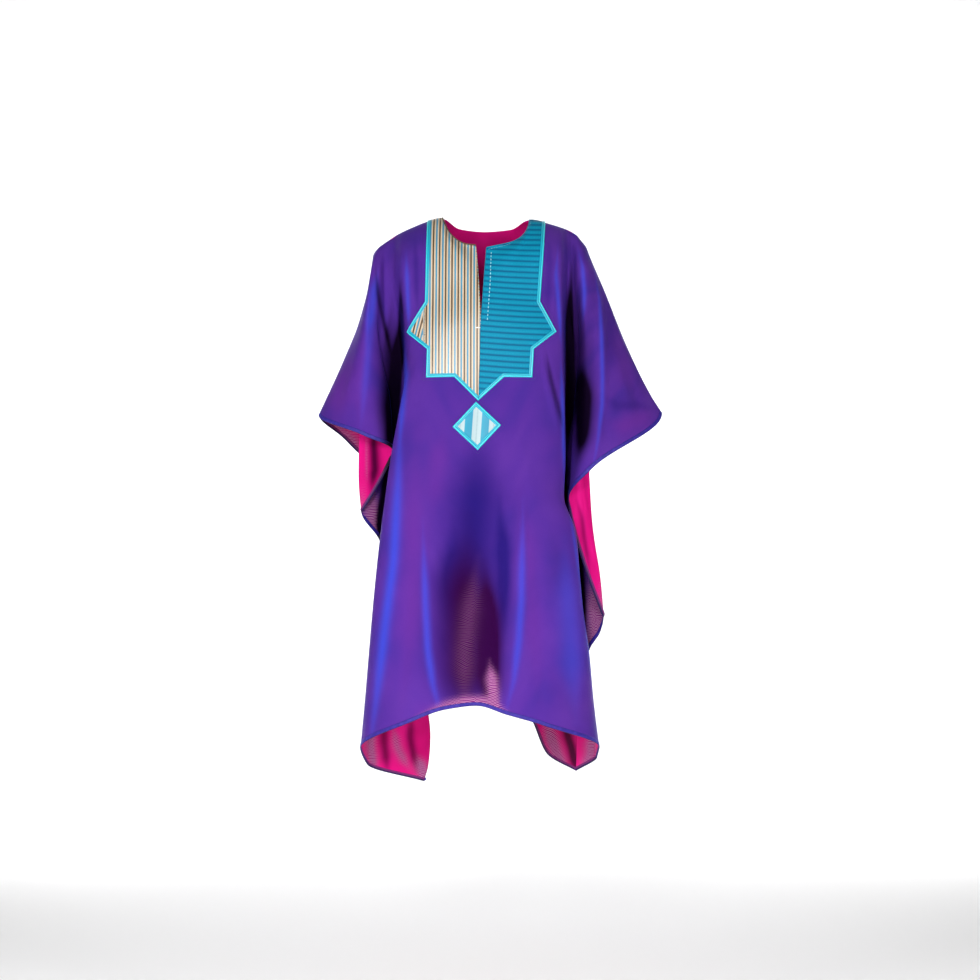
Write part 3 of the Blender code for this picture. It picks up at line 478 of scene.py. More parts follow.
def round_neckline(side, grid, count):
    """Moves the top row onto the neck edge's own curve; rows below follow less and less."""
    curve = np.array(NECKLINE[side], float)
    length = path_length(curve)
    own = grid[0, :count + 1].copy()
    share = path_length(own)
    at = share / share[-1] * length[-1]
    shift = np.stack([smooth_table(length, curve[:, i], at) for i in range(3)], axis=-1) - own
    steps = np.linalg.norm(np.diff(grid[:, :count + 1], axis=0), axis=2)
    drop = np.concatenate([np.zeros((1, count + 1)), np.cumsum(steps, axis=0)])
    grid[:, :count + 1] += shift * (1 - smooth_step(drop / NECKLINE_FADE))[..., None]


class Panel:
    """One panel of cloth: vertices, faces and, for every vertex, its place among rows and lines."""

    def __init__(self, name, lines, low, stations, folds, outward):
        """Both halves from their fold lines; low is the line that the side seam follows."""
        self.name = name
        self.grids = {}
        self.columns = {}
        blocks = []
        for side in ("left", "right"):
            curves = {line: (stations[side][line], folds[side][line], line in ROUNDED) for line in lines}
            counts = self.count_columns(lines, low, curves)
            self.columns[side] = counts
            upper, lower = self.half(side, lines, low, curves, counts)
            sign = -1 if side == "left" else 1
            for part, (rows, points) in (("upper", upper), ("lower", lower)):
                steps = np.concatenate([[0.0]] + [i + np.arange(1, c + 1) / c for i, c in enumerate(counts)])
                steps = sign * steps[:points.shape[1]]
                blocks.append((side, part, rows, points, steps))
        self.merge(blocks, outward)

    def count_columns(self, lines, low, curves):
        """Steps between neighbouring lines, from the widest gap between them."""
        counts = []
        tries = np.linspace(0, 3, 61)
        for i in range(len(lines) - 1):
            used = tries if i < low else tries[tries <= 1]
            near = fold_line(*curves[lines[i]][:2], used, curves[lines[i]][2])
            far = fold_line(*curves[lines[i + 1]][:2], used, curves[lines[i + 1]][2])
            counts.append(int(math.ceil(np.linalg.norm(far - near, axis=1).max() / GRID)))
        return counts

    def half(self, side, lines, low, curves, counts):
        """Upper grid from shoulder to cuff over all lines, and lower grid from cuff to hem."""
        upper_rows = np.linspace(0, 1, UPPER_ROWS) ** 1.25
        lower_rows = np.concatenate([np.linspace(1, 2, SLIT_ROWS), np.linspace(2, 3, SKIRT_ROWS)[1:]])
        upper_keys = np.stack([fold_line(*curves[n][:2], upper_rows, curves[n][2]) for n in lines], axis=1)
        wide_keys = np.stack([fold_line(*curves[n][:2], lower_rows, curves[n][2]) for n in lines], axis=1)
        seam = side_seam(side, lower_rows)
        wide_keys[:, low] = np.where((lower_rows > 2)[:, None], seam, wide_keys[:, low])
        if self.name == "front":
            for keys in (upper_keys, wide_keys):
                reach = np.clip((keys[:, 0, 2] - SLIT_END) / (SLIT_TOP - SLIT_END), 0, 1)
                keys[:, 0, 0] += 0.5 * SLIT_OPEN * reach * (1 if side == "right" else -1)
        upper = np.stack([smooth_row(k, counts, True) for k in upper_keys])
        if self.name == "front":
            round_neckline(side, upper, counts[0] + counts[1])
        wide = np.stack([smooth_row(k, counts, True) for k in wide_keys])
        narrow = np.stack([smooth_row(k[:low + 1], counts[:low], False) for k in wide_keys])
        fade = 1 - smooth_step((lower_rows - 1) / 0.45)[:, None, None]
        lower = narrow + (wide[:, :narrow.shape[1]] - narrow) * fade
        return (upper_rows, upper), (lower_rows, lower)

    def merge(self, blocks, outward):
        """Joins the four grids where they share points, with all faces looking out of the garment."""
        points = np.concatenate([b[3].reshape(-1, 3) for b in blocks])
        rows = np.concatenate([np.repeat(b[2], b[3].shape[1]) for b in blocks])
        lines = np.concatenate([np.tile(b[4], len(b[2])) for b in blocks])
        keys = np.round(points * 500).astype(np.int64)
        _, first, where = np.unique(keys, axis=0, return_index=True, return_inverse=True)
        where = where.reshape(-1)
        self.points = points[first]
        self.rows = rows[first]
        self.lines = lines[first]
        start = 0
        quads = []
        for side, part, _, block, _ in blocks:
            ids = where[start:start + block.shape[0] * block.shape[1]].reshape(block.shape[:2])
            start += ids.size
            self.grids[side, part] = ids
            ring = grid_quads(ids)
            corner = self.points[ring]
            face = np.cross(corner[:, 2] - corner[:, 0], corner[:, 3] - corner[:, 1])
            middle = lines[start - ids.size:start].reshape(ids.shape)[:-1, :-1].reshape(-1)
            if np.sum(face[np.abs(middle) < 2, 1]) * outward < 0:
                ring = ring[:, ::-1]
            quads.append(ring)
        self.quads = np.concatenate(quads)
        self.quads = self.quads[[len(set(q)) == 4 for q in self.quads.tolist()]]

    def normals(self):
        """Unit normals at the points, each face weighing in by its area."""
        corner = self.points[self.quads]
        face = np.cross(corner[:, 2] - corner[:, 0], corner[:, 3] - corner[:, 1])
        total = np.zeros_like(self.points)
        for i in range(4):
            np.add.at(total, self.quads[:, i], face)
        seam = np.abs(self.points[:, 1]) < 1e-4
        total[seam, 1] = 0.0
        return total / np.maximum(np.linalg.norm(total, axis=1, keepdims=True), 1e-12)

    def stroke_sum(self, strokes):
        """Sum over strokes of strength times exp(-(distance / half width)^2), seen from the front.

        Strength and half width taper off smoothly towards both ends of the path.
        """
        total = np.zeros(len(self.points))
        flat = self.points[:, [0, 2]]
        for panel, first, last, path, half, strength in strokes:
            if panel != self.name:
                continue
            distance, along = path_distance(flat, np.array(path, float))
            taper = smooth_step(along / 0.35) * smooth_step((1 - along) / 0.35)
            gate = smooth_step((self.lines - first) * 3 + 1) * smooth_step((last - self.lines) * 3 + 1)
            near = np.exp(-(distance / half / (0.35 + 0.65 * taper)) ** 2)
            total += strength * gate * (0.1 + 0.9 * taper) * near
        return total

    def relax(self, times, amount):
        """Moves inner points towards the mean of their neighbours along both grid directions."""
        used = np.concatenate([self.quads[:, [i, (i + 1) % 4]] for i in range(4)])
        edges, uses = np.unique(np.sort(used, axis=1), axis=0, return_counts=True)
        fixed = np.zeros(len(self.points), bool)
        fixed[edges[uses == 1].reshape(-1)] = True
        counts = np.zeros(len(self.points))
        for i in range(2):
            np.add.at(counts, edges[:, i], 1)
        for _ in range(times):
            mean = np.zeros_like(self.points)
            np.add.at(mean, edges[:, 0], self.points[edges[:, 1]])
            np.add.at(mean, edges[:, 1], self.points[edges[:, 0]])
            mean /= np.maximum(counts, 1)[:, None]
            self.points = np.where(fixed[:, None], self.points, self.points + (mean - self.points) * amount)

    def lengths(self):
        """Cloth coordinates in millimetres: across from the centre line, and down from the shoulder row."""
        across = np.zeros(len(self.points))
        down = np.zeros(len(self.points))
        for side in ("left", "right"):
            sign = -1 if side == "left" else 1
            start = None
            for part in ("upper", "lower"):
                ids = self.grids[side, part]
                p = self.points[ids]
                wide = np.concatenate([np.zeros((len(p), 1)),
                                       np.cumsum(np.linalg.norm(np.diff(p, axis=1), axis=2), axis=1)], axis=1)
                deep = np.concatenate([np.zeros((1, p.shape[1])),
                                       np.cumsum(np.linalg.norm(np.diff(p, axis=0), axis=2), axis=0)])
                if start is not None:
                    deep = deep + start[:p.shape[1]]
                start = deep[-1]
                across[ids] = sign * wide
                down[ids] = deep
        return across, down


def path_distance(flat, path):
    """Distance from points to a path, and how far along the path each nearest point lies, from 0 to 1."""
    best = np.full(len(flat), 1e9)
    along = np.zeros(len(flat))
    pieces = np.linalg.norm(np.diff(path, axis=0), axis=1)
    done = np.concatenate([[0.0], np.cumsum(pieces)])
    for i in range(len(path) - 1):
        way = path[i + 1] - path[i]
        share = np.clip(((flat - path[i]) @ way) / (way @ way), 0, 1)
        distance = np.linalg.norm(flat - path[i] - share[:, None] * way, axis=1)
        closer = distance < best
        best = np.where(closer, distance, best)
        along = np.where(closer, (done[i] + share * pieces[i]) / done[-1], along)
    return best, along


class ChestSurface:
    """The front panel between its two fold lines, read by how far across and by row."""

    def __init__(self, panel):
        """Tables of depth and height over the rows, at even steps of one millimetre across."""
        halves = {}
        for side in ("left", "right"):
            count = sum(panel.columns[side][:3]) + 1
            upper = panel.points[panel.grids[side, "upper"][:, :count]]
            lower = panel.points[panel.grids[side, "lower"][1:CHEST_ROWS, :count]]
            halves[side] = np.concatenate([upper, lower])
        whole = np.concatenate([halves["left"][:, ::-1], halves["right"]], axis=1)
        self.xs = np.arange(-152.0, 152.5, 1.0)
        self.depth = np.stack([np.interp(self.xs, r[:, 0], r[:, 1]) for r in whole])
        self.height = np.stack([np.interp(self.xs, r[:, 0], r[:, 2]) for r in whole])
        self.middle = {side: halves[side][:, 0] for side in halves}

    def read(self, table, x, row):
        """Value of a table at fractional places, by bilinear steps."""
        row = np.clip(row, 0, len(table) - 1.001)
        place = np.clip(x - self.xs[0], 0, len(self.xs) - 1.001)
        r, c = row.astype(int), place.astype(int)
        fr, fc = row - r, place - c
        return ((table[r, c] * (1 - fc) + table[r, c + 1] * fc) * (1 - fr)
                + (table[r + 1, c] * (1 - fc) + table[r + 1, c + 1] * fc) * fr)

    def at(self, x, row, lift=0.0):
        """Point at a place across and a row, moved out along the normal."""
        x, row = np.broadcast_arrays(np.asarray(x, float), np.asarray(row, float))
        point = np.stack([x, self.read(self.depth, x, row), self.read(self.height, x, row)], axis=-1)
        wide = 3.0
        left, right = x - wide, x + wide
        dx = np.stack([np.full(x.shape, 2 * wide),
                       self.read(self.depth, right, row) - self.read(self.depth, left, row),
                       self.read(self.height, right, row) - self.read(self.height, left, row)], axis=-1)
        up, down = np.clip(row - 1, 0, None), row + 1
        dr = np.stack([np.zeros(x.shape),
                       self.read(self.depth, x, down) - self.read(self.depth, x, up),
                       self.read(self.height, x, down) - self.read(self.height, x, up)], axis=-1)
        normal = unit(np.cross(dr, dx))
        return point + normal * np.asarray(lift)[..., None], normal

    def row_of(self, x, z):
        """Row at which the surface reaches a height, by halving the range of rows."""
        x, z = np.broadcast_arrays(np.asarray(x, float), np.asarray(z, float))
        low = np.zeros(x.shape)
        high = np.full(x.shape, len(self.height) - 1.0)
        for _ in range(26):
            middle = (low + high) / 2
            above = self.read(self.height, x, middle) > z
            low = np.where(above, middle, low)
            high = np.where(above, high, middle)
        return (low + high) / 2

    def edge_at(self, row, start, way):
        """Where a row crosses a straight line of the front view, by stepping towards it."""
        x = np.full(np.shape(row), start[0])
        for _ in range(12):
            z = self.read(self.height, x, row)
            x = start[0] + way[0] / way[1] * (z - start[1])
        return x


def inset_polygon(corners, inset, closed):
    """Moves each edge of a counter-clockwise outline inwards; open outlines keep their ends free."""
    count = len(corners)
    lines = []
    for i in range(count if closed else count - 1):
        start = np.array(corners[i], float)
        along = np.array(corners[(i + 1) % count], float) - start
        along = along / np.linalg.norm(along)
        lines.append((start + np.array([-along[1], along[0]]) * inset, along))
    moved = []
    for i in range(count):
        if closed or 0 < i < count - 1:
            (p, u), (q, v) = lines[i - 1], lines[i % len(lines)]
            cross = u[0] * v[1] - u[1] * v[0]
            reach = ((q[0] - p[0]) * v[1] - (q[1] - p[1]) * v[0]) / cross
            moved.append(p + u * reach)
        else:
            start, along = lines[0] if i == 0 else lines[-1]
            moved.append(start + along * np.dot(np.array(corners[i]) - start, along))
    return np.array(moved)


def yoke_outline(inset):
    """Yoke outline in the front view, counter-clockwise from the left shoulder over the tip to the right."""
    flat = [(-x, z) for x, z in YOKE_CORNERS] + YOKE_CORNERS[-2::-1]
    leaned = [(x + YOKE_AXIS_TOP + YOKE_AXIS_LEAN * z, z) for x, z in flat]
    return inset_polygon(leaned, inset, closed=False)


def diamond_outline(inset):
    """Square standing on its point, counter-clockwise from its left corner."""
    corners = []
    for quarter in range(4):
        angle = DIAMOND_TURN + quarter * math.pi / 2
        corners.append((DIAMOND_CENTRE[0] - DIAMOND_REACH * math.cos(angle),
                        DIAMOND_CENTRE[1] - DIAMOND_REACH * math.sin(angle)))
    return inset_polygon(corners, inset, closed=True)


def new_object(name, points, faces, uv=None, values=None):
    """Mesh object from points in millimetres, with a cloth map and named numbers at its vertices."""
    mesh = bpy.data.meshes.new(name)
    mesh.from_pydata((np.asarray(points) * MM).tolist(), [], [list(map(int, f)) for f in faces])
    mesh.validate()
    if uv is not None:
        layer = mesh.uv_layers.new(name="cloth")
        loops = np.empty(len(mesh.loops), np.int32)
        mesh.loops.foreach_get("vertex_index", loops)
        layer.data.foreach_set("uv", (np.asarray(uv)[loops] * MM).astype(np.float32).reshape(-1))
    for label, numbers in (values or {}).items():
        attribute = mesh.attributes.new(label, "FLOAT", "POINT")
        attribute.data.foreach_set("value", np.asarray(numbers, np.float32))
    mesh.polygons.foreach_set("use_smooth", [True] * len(mesh.polygons))
    made = bpy.data.objects.new(name, mesh)
    bpy.context.scene.collection.objects.link(made)
    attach(made, "root")
    return made


def ring_mesh(rings, closed_path=False):
    """Points and faces of a closed profile carried along a path; rings[i, j] is its point j at station i."""
    stations, around = rings.shape[:2]
    ids = np.arange(stations * around).reshape(stations, around)
    following = np.roll(ids, -1, axis=0) if closed_path else ids[1:]
    here = ids if closed_path else ids[:-1]
    quads = np.stack([here, np.roll(here, -1, axis=1), np.roll(following, -1, axis=1), following], axis=-1)
    faces = quads.reshape(-1, 4).tolist()
    if not closed_path:
        faces += [ids[0][::-1].tolist(), ids[-1].tolist()]
    return rings.reshape(-1, 3), faces


def face_out(made):
    """Turns the faces of a closed piece outwards."""
    work = bmesh.new()
    work.from_mesh(made.data)
    bmesh.ops.recalc_face_normals(work, faces=work.faces)
    work.to_mesh(made.data)
    work.free()
    return made


def thicken(made, thick, offset, slots=0):
    """Gives a sheet its thickness; slots is how many material slots further the inner face lies."""
    wall = made.modifiers.new("thickness", "SOLIDIFY")
    wall.thickness = thick * MM
    wall.offset = offset
    wall.use_even_offset = False
    wall.use_rim = True
    wall.material_offset = slots
    wall.material_offset_rim = 0
    return made


def merge_near(made, distance):
    """Joins the points of neighbouring patches."""
    work = bmesh.new()
    work.from_mesh(made.data)
    bmesh.ops.remove_doubles(work, verts=work.verts, dist=distance * MM)
    work.to_mesh(made.data)
    work.free()
    return made


# The two panels: lines give the form, creases the drape, and a little relaxing the softness of voile.
front = Panel("front", FRONT_LINES, FRONT_LOW, FRONT_STATIONS, FRONT_FOLDS, -1)
back = Panel("back", BACK_LINES, BACK_LOW, BACK_STATIONS, BACK_FOLDS, 1)
for panel in (front, back):
    panel.relax(6, 0.5)
    free = smooth_step((panel.rows - 0.05) / 0.15) * smooth_step((np.abs(panel.points[:, 1]) - 4) / 6)
    panel.points = panel.points + panel.normals() * (panel.stroke_sum(CREASES) * free)[:, None]
    panel.relax(2, 0.5)


def make_panel(panel, name):
    """Cloth of a panel, with its strokes of colour, painted light and painted shade as named numbers, and its
    inner face one material slot further.
    """
    across, down = panel.lengths()
    values = {label: np.clip(panel.stroke_sum(strokes), 0, 1) for label, strokes in STROKES.items()}
    made = new_object(name, panel.points, panel.quads.tolist(), np.stack([across, -down], axis=-1), values)
    return thicken(made, CLOTH_THICK, 0.0, slots=1)


front_cloth = make_panel(front, "front_cloth")
back_cloth = make_panel(back, "back_cloth")
chest = ChestSurface(front)


def turned_hem(name, panel, edge_ids, inner_ids, seed):
    """Turned edge: a flat oval profile folded round the cloth's edge and carried along it.

    The way in at each station is the direction to the cloth a little inside, made square to the edge and
    evened out along it. The thickness swells a little along the edge.
    """
    normals = panel.normals()
    path = panel.points[edge_ids]
    along = unit(np.gradient(path, axis=0))
    inward = panel.points[inner_ids] - path
    inward -= along * np.sum(inward * along, axis=1, keepdims=True)
    inward = unit(inward)
    for _ in range(4):
        inward[1:-1] = 0.25 * inward[:-2] + 0.5 * inward[1:-1] + 0.25 * inward[2:]
        inward = unit(inward)
    out = np.cross(along, inward)
    out *= np.sign(np.sum(out * normals[edge_ids], axis=1, keepdims=True))
    length = path_length(path)
    turn = np.concatenate([np.linspace(0.0, 0.8, 5), np.linspace(0.86, 1.14, 5), np.linspace(1.2, 2.0, 5)])
    depth_in = np.where(turn <= 1, 1 - turn, turn - 1) * HEM_WIDTH - 0.3
    side = np.where(turn <= 1, 1.0, -1.0) * HEM_HALF * np.clip(np.abs(turn - 1) / 0.14, 0, 1) ** 0.5
    side = side * (1 - 0.55 * np.clip((np.abs(turn - 1) - 0.86) / 0.14, 0, 1) ** 2)
    swell = 1 + 0.07 * np.sin(length / 11.0 * 2 * math.pi + seed) + 0.05 * np.sin(length / 29.0 * 2 * math.pi)
    rings = (path[:, None] + inward[:, None] * depth_in[None, :, None]
             + out[:, None] * (side[None, :] * swell[:, None])[..., None])
    points, faces = ring_mesh(rings)
    uv = np.stack([np.repeat(length, len(turn)), np.tile(turn * HEM_WIDTH, len(length))], axis=-1)
    shade = np.clip(panel.stroke_sum(STROKES["shade"])[edge_ids], 0, 1)
    made = face_out(new_object(name, points, faces, uv, {"shade": np.repeat(shade, len(turn))}))
    stitch = path + inward * HEM_STITCH + out * (HEM_HALF * 0.82)
    return made, stitch, out


def stitches(name, path, out, dash, gap, half):
    """Running stitch: low lens-shaped dashes, five rings of five points each, along a path."""
    length = path_length(path)
    starts = np.arange(gap, length[-1] - dash, dash + gap)
    share = np.array([0.0, 0.12, 0.5, 0.88, 1.0])
    size = np.array([0.25, 0.8, 1.0, 0.8, 0.25])
    place = starts[:, None] + dash * share[None, :]
    centre = np.stack([np.interp(place, length, path[:, i]) for i in range(3)], axis=-1)
    up = np.stack([np.interp(place, length, out[:, i]) for i in range(3)], axis=-1)
    up = unit(up)
    way = unit(np.gradient(centre, axis=1))
    wide = np.cross(way, up)
    angles = np.arange(5) * 2 * math.pi / 5
    high = (half * (np.sin(angles) - STITCH_SINK))[None, None, :, None]
    rings = (centre[:, :, None] + up[:, :, None] * high * size[None, :, None, None]
             + wide[:, :, None] * (half * np.cos(angles))[None, None, :, None] * size[None, :, None, None])
    per = rings.shape[1] * rings.shape[2]
    one = np.arange(per).reshape(rings.shape[1], rings.shape[2])
    quads = np.stack([one[:-1], np.roll(one[:-1], -1, 1), np.roll(one[1:], -1, 1), one[1:]], axis=-1)
    quads = quads.reshape(-1, 4)
    many = (quads[None] + (np.arange(len(rings)) * per)[:, None, None]).reshape(-1, 4).tolist()
    for i in range(len(rings)):
        many.append((one[0][::-1] + i * per).tolist())
        many.append((one[-1] + i * per).tolist())
    return face_out(new_object(name, rings.reshape(-1, 3), many))


def hem_edges(panel):
    """Hem from the left seam to the right seam, and each cuff edge from the arm down to the seam's top."""
    left, right = panel.grids["left", "lower"], panel.grids["right", "lower"]
    hem = (np.concatenate([left[-1, ::-1], right[-1, 1:]]), np.concatenate([left[-3, ::-1], right[-3, 1:]]))
    edges = {"hem": hem}
    for side in ("left", "right"):
        upper, lower = panel.grids[side, "upper"], panel.grids[side, "lower"]
        low = lower.shape[1] - 1
        cuff = upper[-1, low:][::-1]
        cuff_in = np.concatenate([upper[-3, low:][::-1][:-1], [upper[-3, low - 2]]])
        edges["cuff_" + side] = (np.concatenate([cuff, lower[1:SLIT_ROWS, low]]),
                                 np.concatenate([cuff_in, lower[1:SLIT_ROWS, low - 2]]))
    return edges


hems = []
hem_threads = []
for panel in (front, back):
    for seed, (label, (edge_ids, inner_ids)) in enumerate(hem_edges(panel).items()):
        made, stitch, out = turned_hem(f"{panel.name}_{label}", panel, edge_ids, inner_ids, seed)
        hems.append(made)
        label = f"{panel.name}_{label}_stitches"
        hem_threads.append(stitches(label, stitch, out, SMALL_DASH, 1.0, SMALL_HALF))


def outline_rows(corners_by_inset, count_by_edge):
    """Stations along every edge of a mitred band: for each inset its own (across, height) path."""
    paths = []
    for corners in corners_by_inset:
        path = [corners[:1]]
        for i, count in enumerate(count_by_edge):
            share = (np.arange(1, count + 1) / count)[:, None]
            path.append(corners[i] + (corners[i + 1] - corners[i]) * share)
        paths.append(np.concatenate(path))
    return np.stack(paths, axis=1)


# Binding: distance from the outer edge and height over the panel, for two rounded ribs with a groove between.
BAND = [(0.0, 0.3), (0.05, 1.5), (0.5, 2.35), (1.2, 2.95), (2.0, 3.1), (2.8, 2.9), (3.5, 2.45), (4.2, 2.9),
        (5.0, 3.1), (5.8, 2.95), (6.5, 2.5), (6.95, 1.9), (7.0, 0.3)]


def shoulder_rows(start, way, last_row, count):
    """Path of a straight front-view line on the chest from the shoulder seam to a row, by rows."""
    rows = np.linspace(0, 1, count) ** 1.3 * last_row
    return chest.edge_at(rows, start, way), rows


def binding(name, side):
    """Half of the yoke's binding: mitred band from the shoulder seam round the star to the tip."""
    insets = [t for t, _ in BAND]
    lifts = np.array([h for _, h in BAND])
    stations = []
    for inset in insets:
        corners = yoke_outline(inset)
        half = corners[:7] if side == "left" else corners[:5:-1]
        bend_row = float(chest.row_of(half[1][0], half[1][1]))
        x, rows = shoulder_rows(half[0], half[1] - half[0], bend_row, 60)
        lower = outline_rows([half[1:]], [22, 18, 18, 18, 22])[:, 0]
        rows = np.concatenate([rows, chest.row_of(lower[1:, 0], lower[1:, 1])])
        x = np.concatenate([x, lower[1:, 0]])
        stations.append(np.stack([x, rows], axis=-1))
    stations = np.stack(stations, axis=1)
    rings, _ = chest.at(stations[..., 0], stations[..., 1], np.broadcast_to(lifts, stations.shape[:2]))
    middle = np.interp(-rings[-1, :, 2], -chest.middle[side][:, 2], chest.middle[side][:, 0])
    rings[-1, :, 0] = middle + (-0.1 if side == "left" else 0.1)
    points, faces = ring_mesh(rings)
    along = path_length(rings[:, 5])
    uv = np.stack([np.repeat(along, len(insets)), np.tile(insets, len(along))], axis=-1)
    return face_out(new_object(name, points, faces, uv))


binding_striped = binding("binding_striped_side", "left")
binding_ribbed = binding("binding_ribbed_side", "right")


def diamond_binding():
    """Binding of the diamond: the same band, closed and mitred at four corners."""
    insets = [t for t, _ in BAND]
    lifts = np.array([h for _, h in BAND])
    closed = [np.vstack([diamond_outline(i), diamond_outline(i)[:1]]) for i in insets]
    flat = outline_rows(closed, [20, 20, 20, 20])[:-1]
    rings, _ = chest.at(flat[..., 0], chest.row_of(flat[..., 0], flat[..., 1]),
                        np.broadcast_to(lifts, flat.shape[:2]))
    points, faces = ring_mesh(rings, closed_path=True)
    along = path_length(rings[:, 5])
    uv = np.stack([np.repeat(along, len(insets)), np.tile(insets, len(along))], axis=-1)
    return face_out(new_object("diamond_edge", points, faces, uv))


diamond_edge = diamond_binding()


def diamond_cloth():
    """Square of striped cloth under the binding: four corners blended bilinearly."""
    corners = diamond_outline(5.6)
    a, b = np.meshgrid(np.linspace(0, 1, 45), np.linspace(0, 1, 45))
    flat = (corners[0] * ((1 - a) * (1 - b))[..., None] + corners[1] * (a * (1 - b))[..., None]
            + corners[2] * (a * b)[..., None] + corners[3] * ((1 - a) * b)[..., None])
    rows = chest.row_of(flat[..., 0], flat[..., 1])
    points, _ = chest.at(flat[..., 0], rows, np.full(a.shape, YOKE_TOP - 0.2))
    ids = np.arange(a.size).reshape(a.shape)
    quads = grid_quads(ids)
    uv = (flat - np.array(DIAMOND_CENTRE)).reshape(-1, 2)
    made = new_object("diamond_cloth", points.reshape(-1, 3), quads, uv)
    return thicken(made, YOKE_THICK - 0.2, -1.0)


diamond = diamond_cloth()


def yoke_cloth(name, side, ribbed):
    """One half of the yoke, boundary fitted: rows run from the middle line or slit out to the binding.

    The upper patch reaches from the neck edge and shoulder seam to the star's lower side points,
    and the lower patch from there to the tip. On ribbed cloth the surface sinks in a groove at each rib.
    """
    sign = -1 if side == "left" else 1
    corners = yoke_outline(BINDING_WIDTH - 1.2)
    half = corners[:7] if side == "left" else corners[:5:-1]
    middle = chest.middle[side]
    rows_all = np.arange(len(middle), dtype=float)
    bend_row = float(chest.row_of(half[1][0], half[1][1]))
    outer_x, outer_rows = shoulder_rows(half[0], half[1] - half[0], bend_row, 90)
    lower = outline_rows([half[1:5]], [40, 26, 36])[:, 0]
    outer_rows = np.concatenate([outer_rows, chest.row_of(lower[1:, 0], lower[1:, 1])])
    outer_x = np.concatenate([outer_x, lower[1:, 0]])
    bottom = half[4][1]
    inner_end = float(np.interp(-bottom, -middle[:, 2], rows_all))
    inner_rows = outer_rows * (inner_end / outer_rows[-1])
    inner_x = np.interp(inner_rows, rows_all, middle[:, 0]) + sign * 0.1
    notch = (half[5][0] - inner_x[-1]) / (outer_x[-1] - inner_x[-1])
    share = np.concatenate([np.linspace(0, notch, 26), np.linspace(notch, 1, 28)[1:]])
    x = inner_x[:, None] + (outer_x - inner_x)[:, None] * share
    rows = inner_rows[:, None] + (outer_rows - inner_rows)[:, None] * share
    fitted = chest.row_of(x[-1], np.full(x.shape[1], bottom))
    rows = rows + (fitted - rows[-1])[None, :] * (rows / rows[-1:]) ** 3
    tip = np.linspace(0, 1, 32)[:, None]
    top_x = x[-1, :26]
    tip_z = bottom + (half[6][1] + 0.4 - bottom) * tip
    mid_x = np.interp(-tip_z[:, 0], -middle[:, 2], middle[:, 0])[:, None] + sign * 0.1
    edge_x = half[5][0] + (half[6][0] - half[5][0]) * tip + sign * 0.15 * tip
    part = (top_x - top_x[0]) / (top_x[-1] - top_x[0])
    low_x = mid_x + (edge_x - mid_x) * part
    low_rows = chest.row_of(low_x, np.broadcast_to(tip_z, low_x.shape))
    patches = []
    for px, pr in ((x, rows), (low_x, low_rows)):
        flat, _ = chest.at(px, pr)
        patches.append((px, pr, flat))
    all_points, all_uv, all_quads, start = [], [], [], 0
    for px, pr, flat in patches:
        v = flat[..., 2] - bottom - rib_slope(px)
        lift = np.full(px.shape, YOKE_TOP)
        if ribbed:
            lift = lift - 0.36 * np.exp(-((np.mod(v, RIB) - RIB / 2) / 1.3) ** 2)
        points, _ = chest.at(px, pr, lift)
        u = points[..., 0] - POINT_LEAN * (v - POINT_TOP) * smooth_step((POINT_LINE - points[..., 0]) / 3.0)
        ids = np.arange(px.size).reshape(px.shape) + start
        start += px.size
        quads = grid_quads(ids)
        if sign < 0:
            quads = quads[:, ::-1]
        all_points.append(points.reshape(-1, 3))
        all_uv.append(np.stack([u.reshape(-1), v.reshape(-1)], axis=-1))
        all_quads.append(quads[:, ::-1])
    made = new_object(name, np.concatenate(all_points), np.concatenate(all_quads), np.concatenate(all_uv))
    merge_near(made, 0.02)
    return thicken(made, YOKE_THICK, -1.0)


# Ribs of the turquoise cloth: distance from groove to groove.
RIB = 10.6

# Stripes of the star's left point lean: the line where that starts, the height of its top, and the lean.
POINT_LINE = -107.0
POINT_TOP = 179.0
POINT_LEAN = 0.25


def rib_slope(x):
    """Drop of a rib line: it falls away from the slit and runs more level further out."""
    return -6.0 * np.sin(np.clip((x + 4) / 110.0, 0, 1) * math.pi / 2)


yoke_striped = yoke_cloth("yoke_striped_cloth", "left", False)
yoke_ribbed = yoke_cloth("yoke_ribbed_cloth", "right", True)


def round_cord(name, path, radius, sides=10):
    """Cord: a circle carried along a path, its frame turned by the path's own direction."""
    along = unit(np.gradient(path, axis=0))
    up = unit(np.cross(along, np.array([0.0, 0.0, 1.0]) + 0.01))
    wide = np.cross(along, up)
    angles = np.arange(sides) * 2 * math.pi / sides
    rings = path[:, None] + radius * (up[:, None] * np.cos(angles)[None, :, None]
                                      + wide[:, None] * np.sin(angles)[None, :, None])
    points, faces = ring_mesh(rings)
    length = path_length(path)
    uv = np.stack([np.repeat(length, sides), np.tile(np.arange(sides) * radius, len(length))], axis=-1)
    return face_out(new_object(name, points, faces, uv))


def neck_path(side, beyond, lift):
    """Front neck edge from the slit to the shoulder seam, moved beyond the edge and out."""
    count = sum(front.columns[side][:2]) + 1
    ids = front.grids[side, "upper"]
    edge = front.points[ids[0, :count]]
    inside = front.points[ids[4, :count]]
    away = edge - inside
    along = unit(np.gradient(edge, axis=0))
    away -= along * np.sum(away * along, axis=1, keepdims=True)
    away = unit(away)
    out = front.normals()[ids[0, :count]]
    return edge + away * beyond + out * lift, out


piping_path, _ = neck_path("left", 1.9, 1.5)
piping = round_cord("neck_piping", piping_path, 1.5)

# Neck and slit edges of the yoke: a rolled edge of the same cloth.
right_edge, _ = neck_path("right", 0.2, 1.3)
right_roll = round_cord("neck_roll_ribbed", right_edge, 1.1)


